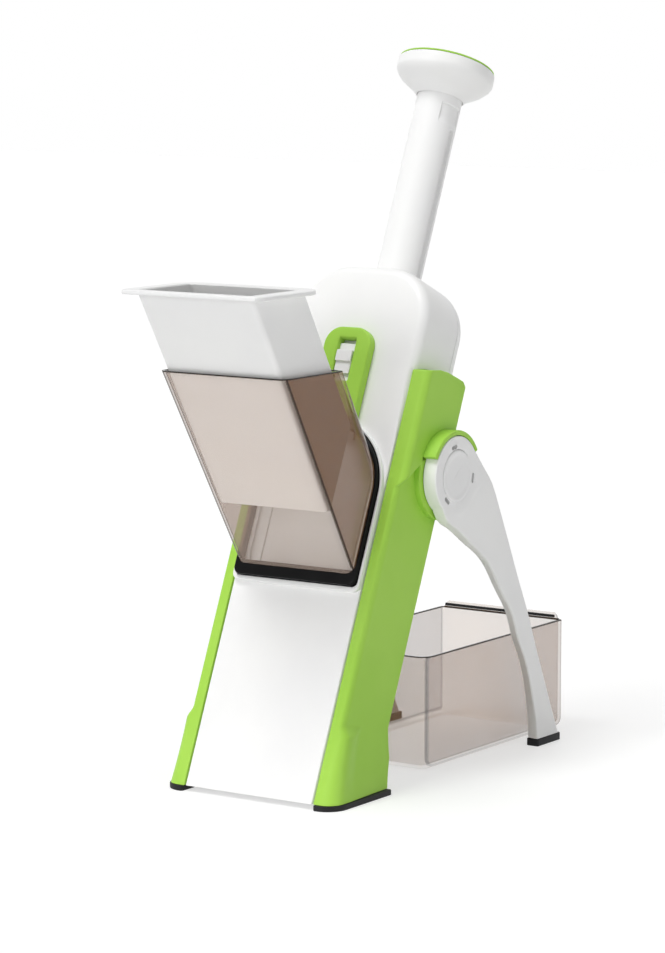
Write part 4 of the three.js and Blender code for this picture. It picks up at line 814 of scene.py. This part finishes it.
def stopped(ring, inset):
    """Moves points that lie behind the stop plane back onto it, along the slope."""
    over = np.maximum(ring[:, 1] * COS - ring[:, 2] * SIN - CUP_STOP + inset, 0.0)
    rise = over / (SIN + CHUTE_SLOPE * COS)
    return ring + np.stack([0.0 * rise, -rise * CHUTE_SLOPE, rise], -1)


cup_rim = cup_ring(CUP_GAP, CUP_TOP)[:, :2]
flange_ends = cup_rim[:, 1].min() - FLANGE_FRONT, cup_rim[:, 1].max() + FLANGE_BACK
flange_centre = np.array([0.0, sum(flange_ends) / 2])
flange_size = np.array([FLANGE_HALF, (flange_ends[1] - flange_ends[0]) / 2])


def flange_ring(inset, height):
    """Rays from the middle through the cup's section meet the flange's rounded rectangle."""
    reach = box_reach(flange_size - inset, FLANGE_CORNER - inset)
    return at_height(aim(cup_rim, flange_centre, reach), height)


shares = np.linspace(0.02, 1.0, 40)
chute_rings = [chute_ring(CHUTE_EDGE, 0.0), chute_ring(0.0, 0.002)]
chute_rings += [chute_ring(0.0, share) for share in shares]
chute_rings += [chute_ring(CHUTE_WALL, share) for share in shares[::-1]]
chute_rings += [chute_ring(CHUTE_WALL, 0.002), chute_ring(CHUTE_WALL - CHUTE_EDGE, 0.0)]
make_piece("clear_chute", [skin(upright(chute_rings), True)],
           "chute", "food_chute", "smoked_clear", SHARP_CLEAR)

heights = np.insert(np.linspace(160.0, CUP_TOP - 1.0, 40), 0, CUP_LOW)
flange_top, edge_steps = CUP_TOP + FLANGE_TALL, rounded_steps(FLANGE_EDGE)
cup_rings = [stopped(cup_ring(CUP_GAP, height), 0.0) for height in heights]
cup_rings += [cup_ring(CUP_GAP, CUP_TOP)]
cup_rings += [flange_ring(inset, CUP_TOP + run) for inset, run in edge_steps]
cup_rings += [flange_ring(inset, flange_top - run) for inset, run in edge_steps[::-1]]
cup_rings += [cup_ring(CUP_GAP + 1.4, flange_top),
              cup_ring(CUP_GAP + CUP_WALL, CUP_TOP + 2.0)]
cup_rings += [stopped(cup_ring(CUP_GAP + CUP_WALL, height), CUP_WALL) for height in heights[:0:-1]]
make_piece("white_pusher", [skin(upright(cup_rings))], "pusher", "food_pusher", "white_plastic")

# %% [markdown]
# ## The collection tray
# A clear box with soft corners and a raised lip at its back, where a black
# strip runs along the inside. The wall is drawn as its true thickness, so the
# rim catches light as a fine line.

# %% Tray
TRAY_HALF, TRAY_BACK, TRAY_TALL, TRAY_WALL = 46.0, 287.0, 70.5, 2.2
TRAY_LIP, TRAY_LIP_HALF, TRAY_EDGE, TRAY_BEND = 4.0, 42.0, 0.35, 7.0
TRAY_CORNERS = 9.0, 3.0
BACK_WALL = 25


def tray_ring(shrink, height, lift=0.0):
    """A level section of the tray; lift raises the middle of the back wall into its lip."""
    front, rear = (max(radius - shrink, least) for radius, least in zip(TRAY_CORNERS, (0.4, 0.3)))
    outline = round_box(shrink - TRAY_HALF, TRAY_HALF - shrink, TRAY_FRONT + shrink, TRAY_BACK - shrink,
                        [front, rear, rear, front], 12)
    back = np.linspace(*outline[BACK_WALL:BACK_WALL + 2], 60)[1:-1]
    x, y = np.insert(outline, BACK_WALL + 1, back, axis=0).T
    rise = ease((TRAY_LIP_HALF - np.abs(x)) / 0.8) * (y > TRAY_BACK - 2.5) * lift
    return np.stack([x, y, height + rise], -1)


walls = (20.0, 45.0, 66.0)
rim_points = [(0.0, TRAY_TALL - 0.4), (TRAY_EDGE, TRAY_TALL), (TRAY_WALL - TRAY_EDGE, TRAY_TALL),
              (TRAY_WALL, TRAY_TALL - 0.4)]
tray_rings = [tray_ring(inset, run) for inset, run in rounded_steps(TRAY_BEND, 8)]
tray_rings += [tray_ring(0.0, height) for height in walls]
tray_rings += [tray_ring(inset, height, TRAY_LIP) for inset, height in rim_points]
tray_rings += [tray_ring(TRAY_WALL, height) for height in walls[::-1]]
tray_rings += [tray_ring(TRAY_WALL + inset, TRAY_WALL + run)
               for inset, run in rounded_steps(TRAY_BEND - TRAY_WALL, 8)[::-1]]
make_piece("clear_tray", [skin(upright(tray_rings))],
           "tray", "collection_tray", "smoked_clear", SHARP_CLEAR)

# %% [markdown]
# ## The return spring
# One steel wire of 1.6 mm runs in 22 curls from its seat in the housing up to
# the knob. It shortens as the plunger goes down, which the squash describes.

# %% Spring
WIRE, SPRING_RADIUS, SPRING_LOW, SPRING_TOP, TRAVEL = 0.8, 9.0, 180.3, 454.7, 105.0
TURNS, STEPS_PER_TURN, WIRE_SIDES = 22, 40, 10


def spring_rings():
    """A circle of wire carried along a helix: centre (r cos a, r sin a, rise a)."""
    a = np.linspace(0.0, TURNS * 2.0 * np.pi, TURNS * STEPS_PER_TURN + 1)
    along = lerp(SPRING_LOW + WIRE, SPRING_TOP - WIRE, a / a[-1])
    line = np.stack([SPRING_RADIUS * np.cos(a), TUBE_DEPTH + SPRING_RADIUS * np.sin(a), along], -1)
    tangent = np.gradient(line, axis=0)
    tangent /= np.linalg.norm(tangent, axis=1, keepdims=True)
    outward = np.stack([np.cos(a), np.sin(a), np.zeros_like(a)], -1)
    upward = np.cross(tangent, outward)
    turn = np.linspace(0.0, 2.0 * np.pi, WIRE_SIDES, endpoint=False)[None, :, None]
    return line[:, None] + WIRE * (outward[:, None] * np.cos(turn) + upward[:, None] * np.sin(turn))


spring = make_piece("coil_spring", [skin(leaning(spring_rings()))], "housing", "return_spring", "steel")

# %% [markdown]
# ## Finishes
# Shader maths is easier to read as sums than as nodes. A small class wraps a
# socket and overloads the operators, so an expression adds its Math nodes.

# %% Shader helper
class Signal:
    """A socket with arithmetic: each operator adds a Math node."""

    def __init__(self, shop, socket):
        self.shop, self.socket = shop, socket

    def maths(self, operation, *others, clamp=False):
        values = dict(enumerate([self, *others]))
        return self.shop.node("ShaderNodeMath", {"operation": operation, "use_clamp": clamp}, values)

    def __add__(self, other):
        return self.maths("ADD", other)

    def __rsub__(self, other):
        return self.maths("MULTIPLY_ADD", -1.0, other)

    def __mul__(self, other):
        return self.maths("MULTIPLY", other)

    __radd__, __rmul__ = __add__, __mul__

    def step(self, low, high):
        """A smooth step of this value from 0 at low to 1 at high."""
        return self.shop.node("ShaderNodeMapRange", {"interpolation_type": "SMOOTHSTEP"},
                              {0: self, 1: low, 2: high, 3: 0.0, 4: 1.0})


class Shop:
    """Makes nodes in a material or a world: a type, its settings, then its sockets."""

    def __init__(self, owner, shader="Principled BSDF"):
        owner.use_nodes = True
        self.tree = owner.node_tree
        self.shader = self.tree.nodes[shader]

    def node(self, kind, settings=None, sockets=None, output=0):
        node = self.tree.nodes.new(kind)
        for name, value in (settings or {}).items():
            setattr(node, name, value)
        self.fill(node, sockets or {})
        return Signal(self, node.outputs[output])

    def fill(self, node, sockets):
        for name, value in sockets.items():
            socket = node.inputs[name]
            if isinstance(value, Signal):
                self.tree.links.new(value.socket, socket)
            else:
                socket.default_value = value

    def position(self):
        """Object coordinates, in metres."""
        return self.node("ShaderNodeTexCoord", output="Object")

    def split(self, vector, output):
        return self.node("ShaderNodeSeparateXYZ", None, {0: vector}, output)

    def noise(self, scale, detail=2.0, stretch=(1.0, 1.0, 1.0)):
        """Noise on Object coordinates, its scale in features per metre."""
        place = self.node("ShaderNodeMapping", None, {"Vector": self.position(), "Scale": stretch})
        return self.node("ShaderNodeTexNoise", None, {"Vector": place, "Scale": scale, "Detail": detail})

    def blend(self, share, first, second):
        """A mix of two colours."""
        return self.node("ShaderNodeMix", {"data_type": "RGBA", "clamp_factor": True},
                         {0: share, 6: first, 7: second}, 2)

    def bump(self, height, strength, distance):
        return self.node(
            "ShaderNodeBump", None, {"Height": height, "Strength": strength, "Distance": distance})


def colour(red, green, blue):
    """A colour as seen on a screen, 0 to 255, turned to the linear values that shaders use."""
    share = np.array([red, green, blue]) / 255.0
    linear = np.where(share <= 0.04045, share / 12.92, ((share + 0.055) / 1.055) ** 2.4)
    return (*linear.tolist(), 1.0)


# %% [markdown]
# ## Mouldings
# The white and green plastics and the rubber are mouldings. A very fine grain
# roughens their skin, the gloss drifts a little, and the colour is faintly
# uneven, as pigment is. Rubber is dark and dull, with more grain and dust.

# %% Moulded plastic and rubber
def moulded(name, light, dark, roughness, gloss, patches, drift, grain, ior):
    """Patches (scale, low, high) mix two colours, and noise moves the roughness and the skin."""
    material = bpy.data.materials.new(name)
    shop = Shop(material)
    scale, low, high = patches
    shop.fill(shop.shader, {
        "Base Color": shop.blend(shop.noise(scale, 3.0).step(low, high), light, dark),
        "Roughness": roughness + shop.noise(*drift[:2]) * drift[2],
        "Normal": shop.bump(shop.noise(grain[0]), grain[1], 0.0002),
        "IOR": ior,
        "Specular IOR Level": gloss,
    })
    return material


SATIN = {"patches": (14.0, 0.35, 0.7), "drift": (60.0, 2.0, 0.08), "grain": (2600.0, 0.02), "ior": 1.5}
RUBBER = {"patches": (90.0, 0.45, 0.8), "drift": (90.0, 3.0, 0.14), "grain": (3800.0, 0.12), "ior": 1.52}
white = moulded("white_plastic_finish", colour(244, 244, 243), colour(240, 240, 240), 0.34, 0.5, **SATIN)
green = moulded("green_plastic_finish", colour(168, 216, 84), colour(161, 211, 76), 0.42, 0.25, **SATIN)
rubber = moulded("rubber_finish", colour(24, 24, 26), colour(36, 37, 39), 0.5, 0.25, **RUBBER)
seal = moulded("seal_finish", colour(6, 6, 7), colour(11, 11, 12), 0.25, 0.1, **RUBBER)
print("finishes:", white.name, green.name, rubber.name, seal.name)

# %% [markdown]
# ## Smoked clear plastic
# The walls are thin and pale brown. What is behind them shows through, a
# little darker. The side walls are a darker brown and less clear. Part of this is
# the longer slanting path through the tint, and part is painted shade for the
# shaded sides seen through them. The upright corners also hold more of the tint,
# and the cut rim of a wall gathers it into a thin dark line.

# %% Clear plastic
EDGE_TINT, RIM_TINT, RIM_VEIL = colour(60, 50, 43), colour(40, 34, 30), 0.85


def clear(name, tint, side_tint_and_shade, veil, side_veil, edge_veil, rim_height, line_width):
    """Alpha is low on the front wall, higher on side walls and corners, and high on the rim."""
    material = bpy.data.materials.new(name)
    shop = Shop(material)
    normal = shop.node("ShaderNodeNewGeometry", output="Normal")
    rightward = shop.split(normal, 0)
    across = rightward.maths("ABSOLUTE")
    # Side walls get a darker brown and more alpha. Part of this is the longer path through the tint, and
    # part is painted shade for the shaded sides seen through them.
    sideways = across.step(0.75, 0.92)
    corners = (0.0 - rightward).step(0.25, 0.4) + rightward.step(0.68, 0.74)
    edge = corners * (1.0 - across.step(0.84, 0.9))
    height = shop.split(shop.position(), 2)
    level = shop.split(normal, 2).step(0.5, 0.8)
    low = rim_height - line_width
    line = height.step(low - 0.0003, low) + height.step(rim_height - 0.003, rim_height - 0.002) * level
    rim = line.maths("MINIMUM", 1.0) * (1.0 - height.step(rim_height + 0.0001, rim_height + 0.0004))
    drift = shop.noise(22.0)
    body = shop.blend(edge, shop.blend(sideways, tint, side_tint_and_shade), EDGE_TINT)
    alpha = veil + sideways * (side_veil - veil) + edge * edge_veil + drift * 0.03
    shop.fill(shop.shader, {
        "Base Color": shop.blend(rim, body, RIM_TINT),
        "Alpha": alpha + rim * RIM_VEIL,
        "Roughness": 0.05 + drift * 0.03,
        "IOR": 1.49,
        "Specular IOR Level": 0.25,
    })
    return material


# The side colours below are darker browns. Part of each is tint, and part is painted shade on the side
# walls.
chute_clear = clear(
    "chute_clear_finish", tint=colour(232, 208, 192), side_tint_and_shade=colour(150, 106, 70), veil=0.17,
    side_veil=0.46, edge_veil=0.75, rim_height=RIM_HEIGHT * MM, line_width=0.0007)
tray_clear = clear(
    "tray_clear_finish", tint=colour(212, 172, 132), side_tint_and_shade=colour(156, 110, 70), veil=0.17,
    side_veil=0.24, edge_veil=0.2, rim_height=TRAY_TALL * MM, line_width=0.0004)
print("finishes:", chute_clear.name, tray_clear.name)

# %% [markdown]
# ## Steel
# The steel is ground one way: its fine scratches run along the part, and drive
# its colour, its roughness and the bump.

# %% Ground steel
steel = bpy.data.materials.new("steel_finish")
shop = Shop(steel)
lines = shop.noise(900.0, stretch=(0.06, 1.0, 1.0))
shop.fill(shop.shader, {
    "Base Color": shop.blend(lines, colour(206, 208, 210), colour(186, 188, 190)),
    "Metallic": 1.0,
    "Roughness": 0.24 + lines * 0.14,
    "Normal": shop.bump(lines, 0.1, 0.0001),
})
print("finish:", steel.name)

# %% [markdown]
# ## Giving out finishes
# Each new piece takes the finish of its slot, and so do the measured solids
# that stay in view, such as the carriage, the dials and the pins.

# %% Finishes to pieces
FINISH = {"white_plastic": white, "green_plastic": green, "black_rubber": rubber, "steel": steel}
OWN_FINISH = {"clear_chute": chute_clear, "clear_tray": tray_clear, "chute_seal": seal}


def give(data, finish):
    """One finish, and no other, on a mesh."""
    data.materials.clear()
    data.materials.append(finish)


for name, (piece, body, replaces, slot) in made.items():
    give(piece.data, OWN_FINISH.get(name) or FINISH[slot])
    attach(piece, body)
    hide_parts(replaces)

slots = {entry["node"]: entry["material_slot"] for entry in frame["record"]["subparts"]}
replaced = {entry[2] for entry in made.values()}
for name, node in nodes.items():
    if name not in replaced:
        give(node.data, FINISH[slots[name]])
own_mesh(spring)
print("finished", len(made), "pieces and", len(nodes) - len(replaced), "solids")

# %% [markdown]
# ## Floor, light and camera
# A pale floor and a white surround make a studio. The key is a broad light
# from above and a little in front. A weaker one comes level from the front,
# and a low lamp on the right lifts the shade of that side.
# The camera stands where the photograph's perspective puts it.

# %% Studio
FLOOR_HALF, FLOOR_SHARE, FLOOR_GLOW = 6.0, 0.4, 1.42
WORLD_LIGHT, WORLD_SEEN = 0.34, 1.0
PLAIN_WHITE = (1.0, 1.0, 1.0, 1.0)
SEEN_RAYS = ("Is Camera Ray", "Is Glossy Ray", "Is Transmission Ray")
AZIMUTH, ELEVATION = math.radians(33.93), math.radians(7.81)
CAMERA_PLACE, SENSOR, LENS = (1219.97, -1722.83, 481.28), 36.0, 199.35


def seen_share(shop):
    """1 for rays from the camera, gloss and clear plastic, and 0 for light that falls."""
    camera, gloss, through = (shop.node("ShaderNodeLightPath", output=ray) for ray in SEEN_RAYS)
    return camera.maths("ADD", gloss, clamp=True).maths("ADD", through, clamp=True)


def stage_floor():
    """A large pale sheet under the object, lifted to white where it is seen and not shaded."""
    mesh = bpy.data.meshes.new("studio_floor")
    corners = [(x * FLOOR_HALF, y * FLOOR_HALF, 0.0) for x, y in ((-1, -1), (1, -1), (1, 1), (-1, 1))]
    mesh.from_pydata(corners, [], [(0, 1, 2, 3)])
    material = bpy.data.materials.new("floor_finish")
    shop = Shop(material)
    shop.fill(shop.shader, {
        "Base Color": colour(235, 235, 235), "Roughness": 0.7, "Specular IOR Level": 0.1})
    matte = Signal(shop, shop.shader.outputs[0])
    glow = shop.node("ShaderNodeEmission", None, {"Color": PLAIN_WHITE, "Strength": FLOOR_GLOW})
    share = seen_share(shop) * FLOOR_SHARE
    mixed = shop.node("ShaderNodeMixShader", None, {0: share, 1: matte, 2: glow})
    shop.fill(shop.tree.nodes["Material Output"], {"Surface": mixed})
    mesh.materials.append(material)
    in_scene("studio_floor", mesh)


def stage_world():
    """The surround lights the object at one strength and shows as white where it is seen."""
    world = bpy.data.worlds.new("studio")
    bpy.context.scene.world = world
    shop = Shop(world, "Background")
    strength = shop.node("ShaderNodeMapRange", None, {0: seen_share(shop), 3: WORLD_LIGHT, 4: WORLD_SEEN})
    shop.fill(shop.shader, {"Color": PLAIN_WHITE, "Strength": strength})


def aimed(thing, place, toward):
    """Puts a lamp or the camera at a place, level, looking along a direction."""
    thing.location = place
    thing.rotation_euler = Vector(toward).to_track_quat("-Z", "Y").to_euler()


def stage_light(name, kind, toward, strength, place=(0.0, 0.0, 0.0), **settings):
    """A soft light that shines along a direction."""
    lamp = bpy.data.lights.new(name, kind)
    for setting, value in {"energy": strength, **settings}.items():
        setattr(lamp, setting, value)
    aimed(in_scene(name, lamp), place, toward)


stage_floor()
stage_world()
stage_light("key", "SUN", (0.15, 0.36, -0.95), 1.7, angle=math.radians(20.0))
stage_light("front", "SUN", (0.14, 0.95, -0.22), 0.8, angle=math.radians(26.0))
stage_light("fill", "AREA", (-1.5, 0.35, -0.02), 3.2, (1.5, -0.3, 0.12), shape="SQUARE", size=0.6)

lens = bpy.data.cameras.new("camera")
lens.sensor_fit, lens.sensor_width, lens.lens = "HORIZONTAL", SENSOR, LENS
camera = in_scene("camera", lens)
level = math.cos(ELEVATION)
aimed(camera, upright(CAMERA_PLACE),
      (-math.sin(AZIMUTH) * level, math.cos(AZIMUTH) * level, -math.sin(ELEVATION)))
bpy.context.scene.camera = camera
bpy.context.scene.view_settings.view_transform = "Standard"
print("studio: floor, surround, three lights and a camera")
